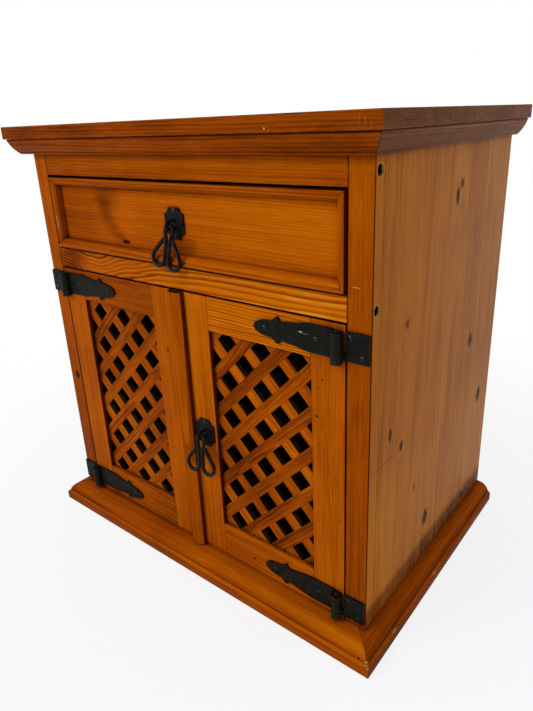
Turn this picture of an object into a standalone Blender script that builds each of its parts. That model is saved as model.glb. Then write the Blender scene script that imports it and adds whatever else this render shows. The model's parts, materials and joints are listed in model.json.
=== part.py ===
"""A rustic pine sideboard: one drawer over a pair of lattice doors on forged strap hinges.

Metres, +Z up. The origin is on the floor under the middle of the sideboard, and the front faces -Y.
Run it with: blender --background --python part.py
"""

import math

import bmesh
import bpy
from mathutils import Matrix, Vector

# Clearances: between pieces that touch, between pieces that turn, and how far a cutter runs past a face
SEAT = 0.0003
RUNNING = 0.0004
CUT_PAST = 0.005

# Carcass boards
CARCASS_WIDTH = 0.600
CARCASS_DEPTH = 0.412
SIDE_THICKNESS = 0.018
BOTTOM_THICKNESS = 0.015
BACK_THICKNESS = 0.005
BACK_INSET = 0.003
TOP_THICKNESS = 0.018
TOP_SIDE_OVERHANG = 0.024
TOP_FRONT_OVERHANG = 0.033

# Face frame
FRAME_THICKNESS = 0.020
STILE_WIDTH = 0.031
MIDDLE_RAIL_HEIGHT = 0.0319
TOP_RAIL_HEIGHT = 0.054

# Frame screws, driven through the stiles into the rails from deep counterbores
COUNTERBORE_RADIUS = 0.0068
COUNTERBORE_DEPTH = 0.011
SCREW_HEAD_RADIUS = 0.0045
SCREW_HEAD_HEIGHT = 0.003
SCREW_SHANK_RADIUS = 0.002
SCREW_LENGTH = 0.045
SCREW_RISE = 0.0165

# Crown moulding under the top board
CROWN_SETBACK = 0.0040
CROWN_FOOT = 0.0070
CROWN_SLOPE_HEIGHT = 0.0208
CROWN_BOW = 0.0017
CROWN_LIP_HEIGHT = 0.0015

# Base moulding that the carcass stands on
BASE_HEIGHT = 0.033
BASE_SIDE_OVERHANG = 0.025
BASE_FRONT_OVERHANG = 0.036
BASE_UNDERLAP = 0.035
BASE_NOSING_HEIGHT = 0.0160
BASE_NOSING_RADIUS = 0.002
BASE_STEP = 0.0046
BASE_STEP_RISE = 0.0030
BASE_QUIRK = 0.0008
BASE_SHOULDER = 0.0035
BASE_BOW = 0.0032

# Drawer
DRAWER_HEIGHT = 0.1076
DRAWER_GAP_BOTTOM = 0.0015
DRAWER_GAP_TOP = 0.003
DRAWER_GAP_SIDE = 0.0017
DRAWER_PANEL_SETBACK = 0.010
DRAWER_PANEL_THICKNESS = 0.014
DRAWER_MOULDING_WIDTH = 0.0125
DRAWER_MOULDING_PROUD = 0.005
DRAWER_BEAD_WIDTH = 0.0044
DRAWER_BEAD_RISE = 0.0015
DRAWER_QUIRK = 0.0008
DRAWER_MOULDING_LIP = 0.0014
DRAWER_LIP = 0.005
DRAWER_SIDE_THICKNESS = 0.012
DRAWER_SIDE_HEIGHT = 0.090
DRAWER_BACK_DROP = 0.010
DRAWER_BACK_CLEARANCE = 0.0247
DRAWER_BOTTOM_THICKNESS = 0.005
DRAWER_BOTTOM_RISE = 0.008
DRAWER_GROOVE_DEPTH = 0.005

# Drawer runners and the strip that stops the doors
RUNNER_LEDGE = 0.015
RUNNER_HEIGHT = 0.014
RUNNER_GUIDE_HEIGHT = 0.020
RUNNER_SIDE_PLAY = 0.0008
STOP_THICKNESS = 0.014
STOP_DROP = 0.014
STOP_HEADROOM = 0.004
STOP_END_GAP = 0.030

# Doors
DOOR_HEIGHT = 0.4175
DOOR_THICKNESS = 0.020
DOOR_GAP_BOTTOM = 0.0025
DOOR_GAP_TOP = 0.0025
DOOR_GAP_SIDE = 0.0012
DOOR_MEETING_GAP = 0.0031
DOOR_HINGE_STILE = 0.0473
DOOR_TOP_RAIL = 0.048
DOOR_BOTTOM_RAIL = 0.0555
DOOR_OPENING_INNER_EDGE = 0.055
REBATE_WIDTH = 0.008
ASTRAGAL_WIDTH = 0.0255
ASTRAGAL_PROUD = 0.011
ASTRAGAL_EDGE = 0.005
ASTRAGAL_X = 0.0005

# Lattice
LATTICE_SETBACK = 0.0064
LATTICE_THICKNESS = 0.0085
LATTICE_LAP_STEP = 0.0002
SLAT_WIDTH = 0.0175
SLAT_PITCH = 0.0406
LATTICE_SHIFTS = {"left": (-0.0039, -0.0016), "right": (0.0, 0.0011)}

# Hinges
HINGE_DROP = 0.0235
HINGE_RISE = 0.0255
HINGE_AXIS_INSET = 0.008
HINGE_PLATE = 0.003
BARREL_RADIUS = 0.0068
BARREL_GAP = 0.0004
STRAP_KNUCKLE_TOP = 0.0165
STRAP_KNUCKLE_BOTTOM = -0.0092
LEAF_KNUCKLE_HEIGHT = 0.012
PIN_RADIUS = 0.0035
PIN_PROUD = 0.0012
PIN_CHAMFER = 0.0008
STRAP_HALF_HEIGHT = 0.0173
STRAP_SHOULDER = 0.0415
STRAP_NECK = 0.082
STRAP_NECK_HALF = 0.0112
STRAP_BARB = 0.0857
STRAP_BARB_HALF = 0.0175
STRAP_BARB_RADIUS = 0.0018
STRAP_TIP_START = 0.0945
STRAP_TIP_HALF = 0.011
STRAP_LENGTH = 0.1225
STRAP_SCREW_NEAR = 0.0305
STRAP_SCREW_FAR = 0.1055
LEAF_EDGE_MARGIN = 0.0015
LEAF_DOOR_MARGIN = 0.0005
LEAF_SCREW_INSET = 0.0050
LEAF_SCREW_OUTSET = 0.0085
LEAF_SCREW_SPREAD = 0.0108
PLATE_SCREW_RADIUS = 0.0022

# Drop pulls
PULL_PLATE_WIDTH = 0.035
PULL_PLATE_HEIGHT = 0.042
PULL_PLATE_THICKNESS = 0.0025
PULL_NOTCH_RADIUS = 0.008
PULL_SCREW_SPREAD = 0.0165
PULL_STANDOFF = 0.009
PULL_PIVOT_RISE = -0.001
STAPLE_RADIUS = 0.002
LOOP_WIRE_RADIUS = 0.0029
LOOP_TOP_RADIUS = 0.007
LOOP_LEG_HALF = 0.0036
LOOP_WAIST_DROP = 0.024
LOOP_DROP = 0.057
LOOP_RADIUS = 0.0112
LOOP_TUCK_DROP = 0.021
LOOP_TUCK_GAP = 0.0005
LOOP_LEAN = math.radians(7.75)
LOOP_TURNS = {"drawer_pull": math.radians(7.5), "door_pull": math.radians(1.5)}
DOOR_PULL_X = 0.0337
DOOR_PULL_RISE = 0.209

# Facets on round pieces
ROUND_STEPS = 24
HOLE_STEPS = 12
ARC_STEPS = 6
SMOOTH_ANGLE = math.radians(40)
WELD = 1e-6
AXIS_WELD = 1e-5

# Heights of the joints between pieces, from the floor up
DOOR_Z = BASE_HEIGHT + DOOR_GAP_BOTTOM
MIDDLE_Z = DOOR_Z + DOOR_HEIGHT + DOOR_GAP_TOP
OPENING_Z = MIDDLE_Z + MIDDLE_RAIL_HEIGHT
DRAWER_Z = OPENING_Z + DRAWER_GAP_BOTTOM
TOP_RAIL_Z = DRAWER_Z + DRAWER_HEIGHT + DRAWER_GAP_TOP
TOP_Z = TOP_RAIL_Z + TOP_RAIL_HEIGHT
OVERALL_HEIGHT = TOP_Z + TOP_THICKNESS
CROWN_HEIGHT = CROWN_SLOPE_HEIGHT + CROWN_LIP_HEIGHT

# Widths from the middle plane outwards
HALF_WIDTH = CARCASS_WIDTH / 2
INSIDE_HALF = HALF_WIDTH - SIDE_THICKNESS
OPENING_HALF = HALF_WIDTH - STILE_WIDTH
DRAWER_HALF = OPENING_HALF - DRAWER_GAP_SIDE
DRAWER_BOX_HALF = DRAWER_HALF - DRAWER_LIP
DOOR_HALF = OPENING_HALF - DOOR_GAP_SIDE
HINGE_X = DOOR_HALF - HINGE_AXIS_INSET
CROWN_TOP_SIDE = TOP_SIDE_OVERHANG - CROWN_SETBACK
CROWN_FRONT_EXTRA = TOP_FRONT_OVERHANG - TOP_SIDE_OVERHANG
BASE_FRONT_EXTRA = BASE_FRONT_OVERHANG - BASE_SIDE_OVERHANG

# Depths from front to back
FRONT_OVERHANG = max(BASE_FRONT_OVERHANG, TOP_FRONT_OVERHANG)
BACK_Y = (CARCASS_DEPTH + FRONT_OVERHANG) / 2
FACE_Y = BACK_Y - CARCASS_DEPTH
FRAME_BACK_Y = FACE_Y + FRAME_THICKNESS
BACK_PANEL_Y = BACK_Y - BACK_INSET - BACK_THICKNESS
PANEL_FACE_Y = FACE_Y + DRAWER_PANEL_SETBACK
PANEL_BACK_Y = PANEL_FACE_Y + DRAWER_PANEL_THICKNESS
HINGE_Y = FACE_Y - SEAT - BARREL_RADIUS
DOOR_BACK_FROM_AXIS = FACE_Y + DOOR_THICKNESS - HINGE_Y
DOOR_SWING_IN = math.hypot(HINGE_AXIS_INSET, DOOR_BACK_FROM_AXIS) - DOOR_BACK_FROM_AXIS
DRAWER_PIVOT_Y = PANEL_FACE_Y - SEAT - PULL_PLATE_THICKNESS - PULL_STANDOFF
DOOR_PIVOT_Y = FACE_Y - SEAT - PULL_PLATE_THICKNESS - PULL_STANDOFF
DRAWER_PLATE_Z = DRAWER_Z + DRAWER_HEIGHT / 2
DOOR_PLATE_Z = DOOR_Z + DOOR_PULL_RISE

# Where each body turns, slides or stands
PIVOTS = {
    "carcass": Vector((0, 0, 0)),
    "drawer": Vector((0, FACE_Y, DRAWER_PLATE_Z)),
    "left_door": Vector((-HINGE_X, HINGE_Y, DOOR_Z)),
    "right_door": Vector((HINGE_X, HINGE_Y, DOOR_Z)),
    "drawer_pull": Vector((0, DRAWER_PIVOT_Y, DRAWER_PLATE_Z + PULL_PIVOT_RISE)),
    "door_pull": Vector((DOOR_PULL_X, DOOR_PIVOT_Y, DOOR_PLATE_Z + PULL_PIVOT_RISE)),
}
CARRIED_BY = {
    "drawer": "carcass",
    "left_door": "carcass",
    "right_door": "carcass",
    "drawer_pull": "drawer",
    "door_pull": "right_door",
}

# Colour, roughness and metallic value of each finish
FINISHES = {
    "pine": ((0.40, 0.13, 0.012, 1), 0.38, 0.0),
    "raw_pine": ((0.52, 0.33, 0.15, 1), 0.65, 0.0),
    "plywood": ((0.45, 0.27, 0.12, 1), 0.70, 0.0),
    "iron": ((0.014, 0.014, 0.012, 1), 0.55, 0.6),
    "steel": ((0.03, 0.03, 0.03, 1), 0.45, 0.8),
}

UP = Vector((0, 0, 1))
FORWARD = Vector((0, -1, 0))
SIDES = {"left": -1, "right": 1}


def clear_scene():
    for obj in list(bpy.data.objects):
        bpy.data.objects.remove(obj, do_unlink=True)


def new_collection(name):
    collection = bpy.data.collections.new(name)
    bpy.context.scene.collection.children.link(collection)
    return collection


def add_pivots():
    """One empty for each body, on its joint's axis."""
    empties = {}
    for body, place in PIVOTS.items():
        empty = bpy.data.objects.new(body + "_pivot", None)
        PARTS.objects.link(empty)
        carrier = CARRIED_BY.get(body)
        empty.location = place
        if carrier:
            empty.parent = empties[carrier]
            empty.location = place - PIVOTS[carrier]
        empties[body] = empty
    return empties


def finish_material(name, finish):
    colour, roughness, metallic = FINISHES[finish]
    material = bpy.data.materials.new(name)
    material.use_nodes = True
    shader = material.node_tree.nodes["Principled BSDF"]
    shader.inputs["Base Color"].default_value = colour
    shader.inputs["Roughness"].default_value = roughness
    shader.inputs["Metallic"].default_value = metallic
    material.diffuse_color = colour
    return material


def add_part(name, data, body, finish, matrix):
    data.materials.append(finish_material(name, finish))
    part = bpy.data.objects.new(name, data)
    PARTS.objects.link(part)
    part.parent = EMPTIES[body]
    part.matrix_basis = Matrix.Translation(-PIVOTS[body]) @ matrix
    return part


def add_cutter(name, mesh, matrix):
    cutter = bpy.data.objects.new(name, mesh)
    CUTTERS.objects.link(cutter)
    cutter.matrix_basis = matrix
    cutter.hide_render = True
    cutter.display_type = "WIRE"
    return cutter


def apply_boolean(part, operation, other):
    modifier = part.modifiers.new(other.name, "BOOLEAN")
    modifier.operation = operation
    modifier.object = other


def mesh_from(bm, name):
    mesh = bpy.data.meshes.new(name)
    bm.to_mesh(mesh)
    bm.free()
    return mesh


def box_mesh(name, size):
    bm = bmesh.new()
    bmesh.ops.create_cube(bm, size=1.0, matrix=Matrix.Diagonal((*size, 1)))
    return mesh_from(bm, name)


def board(name, body, low, high, finish="pine"):
    """A square-edged board between two corners."""
    low, high = Vector(low), Vector(high)
    return add_part(name, box_mesh(name, high - low), body, finish, Matrix.Translation((low + high) / 2))


def rod_mesh(name, radius, length, steps):
    """A round rod along local Z, centred."""
    bm = bmesh.new()
    bmesh.ops.create_cone(bm, cap_ends=True, segments=steps, radius1=radius, radius2=radius, depth=length)
    mesh = mesh_from(bm, name)
    mesh.shade_smooth()
    mesh.set_sharp_from_angle(angle=SMOOTH_ANGLE)
    return mesh


def along(direction, place):
    """The placing that turns local Z to a direction."""
    turn = Vector(direction).to_track_quat("Z", "Y").to_matrix().to_4x4()
    return Matrix.Translation(place) @ turn


def hole(name, start, direction, length, radius, steps=HOLE_STEPS):
    """A drilled hole's cutter, from its mouth inwards, begun just outside the surface."""
    direction = Vector(direction)
    mouth = Vector(start) - direction * SEAT
    reach = length + SEAT
    middle = mouth + direction * reach / 2
    return add_cutter(name, rod_mesh(name, radius, reach, steps), along(direction, middle))


def placing(x_axis, y_axis, place):
    """The placing of an outline whose local X and Y lie along two directions."""
    x_axis, y_axis = Vector(x_axis), Vector(y_axis)
    turn = Matrix((x_axis, y_axis, x_axis.cross(y_axis))).transposed().to_4x4()
    return Matrix.Translation(place) @ turn


def arc(centre, radius_x, radius_y, start, end, steps=ARC_STEPS):
    """Points along an ellipse from one angle to another, in degrees."""
    points = []
    for step in range(steps + 1):
        angle = math.radians(start + (end - start) * step / steps)
        points.append((centre[0] + radius_x * math.cos(angle), centre[1] + radius_y * math.sin(angle)))
    return points


def bowed(start, end, bow, steps=ARC_STEPS):
    """Points along a shallow curve that swells to the right of the way from its start to its end."""
    start, end = Vector(start), Vector(end)
    way = (end - start).normalized()
    swell = Vector((way.y, -way.x)) * 4 * bow
    points = []
    for step in range(steps + 1):
        share = step / steps
        points.append(tuple(start.lerp(end, share) + swell * share * (1 - share)))
    return points


def mirrored(points):
    """The points, then their mirror image below the local X axis, in closing order."""
    return points + [(x, -y) for x, y in reversed(points) if y > 0]


def outline_mesh(name, points, thickness):
    """A flat outline in local XY, thick along local Z and centred there."""
    curve = bpy.data.curves.new(name, "CURVE")
    curve.dimensions = "2D"
    curve.fill_mode = "BOTH"
    curve.extrude = thickness / 2
    spline = curve.splines.new("POLY")
    spline.points.add(len(points) - 1)
    for point, (x, y) in zip(spline.points, points):
        point.co = (x, y, 0, 1)
    spline.use_cyclic_u = True
    guide = bpy.data.objects.new(name, curve)
    CUTTERS.objects.link(guide)
    graph = bpy.context.evaluated_depsgraph_get()
    mesh = bpy.data.meshes.new_from_object(guide.evaluated_get(graph))
    bpy.data.objects.remove(guide)
    bpy.data.curves.remove(curve)
    bm = bmesh.new()
    bm.from_mesh(mesh)
    bmesh.ops.remove_doubles(bm, verts=bm.verts, dist=WELD)
    bmesh.ops.recalc_face_normals(bm, faces=bm.faces)
    bm.to_mesh(mesh)
    bm.free()
    mesh.name = name
    return mesh


def split_across(mesh, outwards):
    """Splits a moulding's faces along a line at one distance outwards, where its ends change direction."""
    bm = bmesh.new()
    bm.from_mesh(mesh)
    everything = bm.verts[:] + bm.edges[:] + bm.faces[:]
    bmesh.ops.bisect_plane(bm, geom=everything, dist=WELD, plane_co=(outwards, 0, 0), plane_no=(1, 0, 0))
    bm.to_mesh(mesh)
    bm.free()


def lengthen(mesh, low_end, high_end):
    """Sets where a moulding's two ends lie along local Z, each as a function of the distance outwards."""
    for vertex in mesh.vertices:
        vertex.co.z = high_end(vertex.co.x) if vertex.co.z > 0 else low_end(vertex.co.x)


def turned(name, body, finish, profile, matrix, steps=ROUND_STEPS):
    """A round piece from its half profile of (radius, height) points, running from top to bottom."""
    bm = bmesh.new()
    rim = [bm.verts.new((radius, 0, height)) for radius, height in profile]
    for upper, lower in zip(rim, rim[1:]):
        bm.edges.new((upper, lower))
    part = add_part(name, mesh_from(bm, name), body, finish, matrix)
    screw = part.modifiers.new("Turn", "SCREW")
    screw.steps = screw.render_steps = steps
    screw.use_merge_vertices = True
    screw.merge_threshold = AXIS_WELD
    screw.use_smooth_shade = False
    return part


def wire(name, body, finish, points, radius):
    """A bent wire through points given from the body's pivot."""
    curve = bpy.data.curves.new(name, "CURVE")
    curve.dimensions = "3D"
    curve.bevel_depth = radius
    curve.bevel_resolution = 2
    curve.use_fill_caps = True
    spline = curve.splines.new("POLY")
    spline.points.add(len(points) - 1)
    for point, place in zip(spline.points, points):
        point.co = (*place, 1)
    return add_part(name, curve, body, finish, Matrix.Translation(PIVOTS[body]))


def add_carcass_boards():
    low_z, high_z = BASE_HEIGHT + SEAT, TOP_Z - SEAT
    top_half = HALF_WIDTH + TOP_SIDE_OVERHANG
    top_front = FACE_Y - TOP_FRONT_OVERHANG
    board("top_board", "carcass", (-top_half, top_front, TOP_Z), (top_half, BACK_Y, OVERALL_HEIGHT))
    for side, sign in SIDES.items():
        inner, outer = sorted((sign * INSIDE_HALF, sign * HALF_WIDTH))
        board("side_panel_" + side, "carcass", (inner, FRAME_BACK_Y + SEAT, low_z), (outer, BACK_Y, high_z))
    inside = INSIDE_HALF - SEAT
    board(
        "bottom_panel",
        "carcass",
        (-inside, FACE_Y + DOOR_THICKNESS + DOOR_SWING_IN + SEAT, low_z),
        (inside, BACK_PANEL_Y - SEAT, low_z + BOTTOM_THICKNESS),
    )
    board(
        "back_panel",
        "carcass",
        (-inside, BACK_PANEL_Y, low_z),
        (inside, BACK_PANEL_Y + BACK_THICKNESS, high_z),
        "plywood",
    )


def add_face_frame():
    high_z = TOP_Z - SEAT
    rail_half = OPENING_HALF - SEAT
    levels = {"top": (TOP_RAIL_Z, high_z), "middle": (MIDDLE_Z, OPENING_Z)}
    rails = {}
    for level, (low, high) in levels.items():
        low_corner, high_corner = (-rail_half, FACE_Y, low), (rail_half, FRAME_BACK_Y, high)
        rails[level] = board(level + "_rail", "carcass", low_corner, high_corner)
    for side, sign in SIDES.items():
        inner, outer = sorted((sign * OPENING_HALF, sign * HALF_WIDTH))
        low_corner, high_corner = (inner, FACE_Y, BASE_HEIGHT + SEAT), (outer, FRAME_BACK_Y, high_z)
        stile = board("face_stile_" + side, "carcass", low_corner, high_corner)
        for level, (low, high) in levels.items():
            add_frame_screw(f"frame_screw_{side}_{level}", sign, stile, rails[level], low + SCREW_RISE)


def add_frame_screw(name, sign, stile, rail, height):
    """A screw in the bottom of its counterbore, and the holes that it goes through."""
    inwards = Vector((-sign, 0, 0))
    mouth = Vector((sign * HALF_WIDTH, FACE_Y + FRAME_THICKNESS / 2, height))
    seat = mouth + inwards * COUNTERBORE_DEPTH
    pilot = hole(name + "_pilot", seat, inwards, SCREW_LENGTH + SEAT, SCREW_SHANK_RADIUS + SEAT)
    bore_name = name + "_counterbore"
    counterbore = hole(bore_name, mouth, inwards, COUNTERBORE_DEPTH, COUNTERBORE_RADIUS, ROUND_STEPS)
    apply_boolean(stile, "DIFFERENCE", counterbore)
    apply_boolean(stile, "DIFFERENCE", pilot)
    apply_boolean(rail, "DIFFERENCE", pilot)
    profile = [
        (0, SCREW_HEAD_HEIGHT),
        (SCREW_HEAD_RADIUS, SCREW_HEAD_HEIGHT),
        (SCREW_HEAD_RADIUS, 0),
        (SCREW_SHANK_RADIUS, 0),
        (SCREW_SHANK_RADIUS, -SCREW_LENGTH + SEAT),
        (0, -SCREW_LENGTH + SEAT),
    ]
    turned(name, "carcass", "steel", profile, along(-inwards, seat - inwards * SEAT), HOLE_STEPS)


def crown_outline(extra):
    """The crown's section, outwards and up from the carcass, with a plain part of a given width behind."""
    shaped = bowed((CROWN_FOOT, 0), (CROWN_TOP_SIDE, CROWN_SLOPE_HEIGHT), CROWN_BOW)
    shaped += [(CROWN_TOP_SIDE, CROWN_HEIGHT - SEAT)]
    plain_top = [(extra, CROWN_HEIGHT - SEAT), (SEAT, CROWN_HEIGHT - SEAT)]
    plain_foot = [(SEAT, 0), (extra, 0)]
    if extra <= SEAT:
        plain_top, plain_foot = plain_top[1:], plain_foot[:1]
    return plain_foot + [(extra + x, y) for x, y in shaped] + plain_top


def base_outline(extra):
    """The base's section, outwards and up from the carcass face at floor level."""
    nosing = BASE_SIDE_OVERHANG
    step = nosing - BASE_STEP
    step_top = BASE_NOSING_HEIGHT + BASE_STEP_RISE
    edge = BASE_NOSING_RADIUS
    shaped = arc((nosing - edge, edge), edge, edge, -90, 0, 2)
    shaped += arc((nosing - edge, BASE_NOSING_HEIGHT - edge), edge, edge, 0, 60, 2)
    shaped += [(step, step_top)]
    shaped += bowed((step, step_top + BASE_QUIRK), (BASE_SHOULDER, BASE_HEIGHT), BASE_BOW)
    corners = [(-BASE_UNDERLAP, BASE_HEIGHT), (-BASE_UNDERLAP, 0)]
    return [(extra + x, y) for x, y in shaped + corners]


def add_mitred_mouldings(prefix, outline, extra, inner, height):
    """A front strip and two side strips, mitred at the front corners and square at the back.

    inner is the distance outwards from the carcass side where the mitres begin.
    """
    front = outline_mesh(prefix + "_front", outline(extra), 1)
    split_across(front, extra + inner)

    def front_end(out):
        return HALF_WIDTH + inner - SEAT + max(0, out - extra - inner)

    def side_end(out):
        return FACE_Y - extra - inner + SEAT - max(0, out - inner)

    lengthen(front, lambda out: -front_end(out), front_end)
    add_part(prefix + "_front", front, "carcass", "pine", placing(FORWARD, UP, (0, FACE_Y, height)))
    for side, sign in SIDES.items():
        strip = outline_mesh(prefix + "_" + side, outline(0), 1)
        if sign > 0:
            lengthen(strip, lambda out: -BACK_Y, lambda out: -side_end(out))
        else:
            lengthen(strip, side_end, lambda out: BACK_Y)
        outwards = Vector((sign, 0, 0))
        place = outwards * HALF_WIDTH + UP * height
        add_part(prefix + "_" + side, strip, "carcass", "pine", placing(outwards, UP, place))


def add_runners():
    """L-shaped runners: a ledge under each drawer side and a guide beside it."""
    ledge_top = DRAWER_Z - SEAT
    guide_x = DRAWER_BOX_HALF + RUNNER_SIDE_PLAY
    wall_x = INSIDE_HALF - SEAT
    ledge_x = DRAWER_BOX_HALF - RUNNER_LEDGE
    section = [
        (ledge_x, ledge_top - RUNNER_HEIGHT),
        (wall_x, ledge_top - RUNNER_HEIGHT),
        (wall_x, ledge_top + RUNNER_GUIDE_HEIGHT),
        (guide_x, ledge_top + RUNNER_GUIDE_HEIGHT),
        (guide_x, ledge_top),
        (ledge_x, ledge_top),
    ]
    front_y, back_y = max(FRAME_BACK_Y, PANEL_BACK_Y) + SEAT, BACK_PANEL_Y - SEAT
    for side, sign in SIDES.items():
        name = "drawer_runner_" + side
        mesh = outline_mesh(name, section, back_y - front_y)
        middle = (0, (front_y + back_y) / 2, 0)
        add_part(name, mesh, "carcass", "raw_pine", placing((sign, 0, 0), UP, middle))
    stop_half = OPENING_HALF - STOP_END_GAP
    stop_y = FACE_Y + max(FRAME_THICKNESS, DOOR_THICKNESS) + SEAT
    board(
        "door_stop",
        "carcass",
        (-stop_half, stop_y, MIDDLE_Z - STOP_DROP),
        (stop_half, stop_y + STOP_THICKNESS, OPENING_Z - STOP_HEADROOM),
        "raw_pine",
    )


def drawer_moulding_outline():
    """The drawer moulding's section, inwards from the drawer's edge and forwards from the panel."""
    bead_half = DRAWER_BEAD_WIDTH / 2
    bead_foot = DRAWER_PANEL_SETBACK + DRAWER_MOULDING_PROUD - SEAT - DRAWER_BEAD_RISE
    points = [(0, 0)] + arc((bead_half, bead_foot), bead_half, DRAWER_BEAD_RISE, 180, 0)
    ovolo_start = DRAWER_BEAD_WIDTH + DRAWER_QUIRK
    ovolo_height = bead_foot - DRAWER_QUIRK - DRAWER_MOULDING_LIP
    points += [(DRAWER_BEAD_WIDTH, bead_foot - DRAWER_QUIRK)]
    ovolo_centre = (ovolo_start, DRAWER_MOULDING_LIP)
    points += arc(ovolo_centre, DRAWER_MOULDING_WIDTH - ovolo_start, ovolo_height, 90, 0)
    points += [(DRAWER_MOULDING_WIDTH, 0)]
    return [(x, y + SEAT) for x, y in points]


def add_drawer():
    drawer_top = DRAWER_Z + DRAWER_HEIGHT
    board(
        "drawer_front",
        "drawer",
        (-DRAWER_HALF, PANEL_FACE_Y, DRAWER_Z),
        (DRAWER_HALF, PANEL_BACK_Y, drawer_top),
    )
    middle = Vector((0, PANEL_FACE_Y, DRAWER_PLATE_Z))
    strips = {
        "top": (-UP, DRAWER_HEIGHT / 2, DRAWER_HALF),
        "bottom": (UP, DRAWER_HEIGHT / 2, DRAWER_HALF),
        "left": (Vector((1, 0, 0)), DRAWER_HALF, DRAWER_HEIGHT / 2),
        "right": (Vector((-1, 0, 0)), DRAWER_HALF, DRAWER_HEIGHT / 2),
    }
    for edge, (inwards, from_middle, half_run) in strips.items():
        name = "drawer_moulding_" + edge
        mesh = outline_mesh(name, drawer_moulding_outline(), 1)
        lengthen(mesh, lambda inset: inset - half_run + SEAT, lambda inset: half_run - inset - SEAT)
        add_part(name, mesh, "drawer", "pine", placing(inwards, FORWARD, middle - inwards * from_middle))
    add_drawer_box()


def add_drawer_box():
    side_front, side_back = PANEL_BACK_Y + SEAT, BACK_PANEL_Y - DRAWER_BACK_CLEARANCE
    side_top = DRAWER_Z + DRAWER_SIDE_HEIGHT
    inner_half = DRAWER_BOX_HALF - DRAWER_SIDE_THICKNESS
    bottom_z = DRAWER_Z + DRAWER_BOTTOM_RISE
    bottom_top = bottom_z + DRAWER_BOTTOM_THICKNESS
    groove_half = inner_half + DRAWER_GROOVE_DEPTH
    groove_low = Vector((-groove_half, side_front - CUT_PAST, bottom_z - SEAT))
    groove_high = Vector((groove_half, side_back + CUT_PAST, bottom_top + SEAT))
    groove = add_cutter(
        "drawer_groove",
        box_mesh("drawer_groove", groove_high - groove_low),
        Matrix.Translation((groove_low + groove_high) / 2),
    )
    for side, sign in SIDES.items():
        inner, outer = sorted((sign * inner_half, sign * DRAWER_BOX_HALF))
        low_corner, high_corner = (inner, side_front, DRAWER_Z), (outer, side_back, side_top)
        panel = board("drawer_side_" + side, "drawer", low_corner, high_corner, "raw_pine")
        apply_boolean(panel, "DIFFERENCE", groove)
    between = inner_half - SEAT
    board(
        "drawer_back",
        "drawer",
        (-between, side_back - DRAWER_SIDE_THICKNESS, bottom_top + SEAT),
        (between, side_back, side_top - DRAWER_BACK_DROP),
        "raw_pine",
    )
    board(
        "drawer_bottom",
        "drawer",
        (SEAT - groove_half, side_front, bottom_z),
        (groove_half - SEAT, side_back, bottom_top),
        "plywood",
    )


def lattice_layer(name, sign, shift, thickness, half_width, half_height):
    """Parallel slats at 45 degrees, rising to the right for sign +1, as separate boxes in one mesh."""
    reach = (half_width + half_height) / math.sqrt(2)
    count = math.ceil(reach / SLAT_PITCH)
    bm = bmesh.new()
    turn = Matrix.Rotation(-sign * math.pi / 4, 4, "Y")
    size = Matrix.Diagonal((2 * (half_width + half_height), thickness, SLAT_WIDTH, 1))
    for index in range(-count, count + 1):
        step = Matrix.Translation((0, 0, index * SLAT_PITCH + shift))
        bmesh.ops.create_cube(bm, size=1.0, matrix=turn @ step @ size)
    return mesh_from(bm, name)


def add_lattice(side, low, high, rebate_y):
    """Crossed slats halved into each other, trimmed to the rebate of the door frame."""
    name = side + "_door_lattice"
    half_width, half_height = (high[0] - low[0]) / 2, (high[1] - low[1]) / 2
    middle_y = rebate_y + LATTICE_THICKNESS / 2
    place = Matrix.Translation(((low[0] + high[0]) / 2, middle_y, (low[1] + high[1]) / 2))
    rising_shift, falling_shift = LATTICE_SHIFTS[side]
    lapped = LATTICE_THICKNESS - 2 * LATTICE_LAP_STEP
    rising = lattice_layer(name, 1, rising_shift, LATTICE_THICKNESS, half_width, half_height)
    falling = lattice_layer(name + "_falling", -1, falling_shift, lapped, half_width, half_height)
    lattice = add_part(name, rising, side + "_door", "pine", place)
    apply_boolean(lattice, "UNION", add_cutter(name + "_falling", falling, place))
    trim_size = (2 * half_width, 2 * LATTICE_THICKNESS, 2 * half_height)
    trim = add_cutter(name + "_trim", box_mesh(name + "_trim", trim_size), place)
    apply_boolean(lattice, "INTERSECT", trim)


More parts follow.
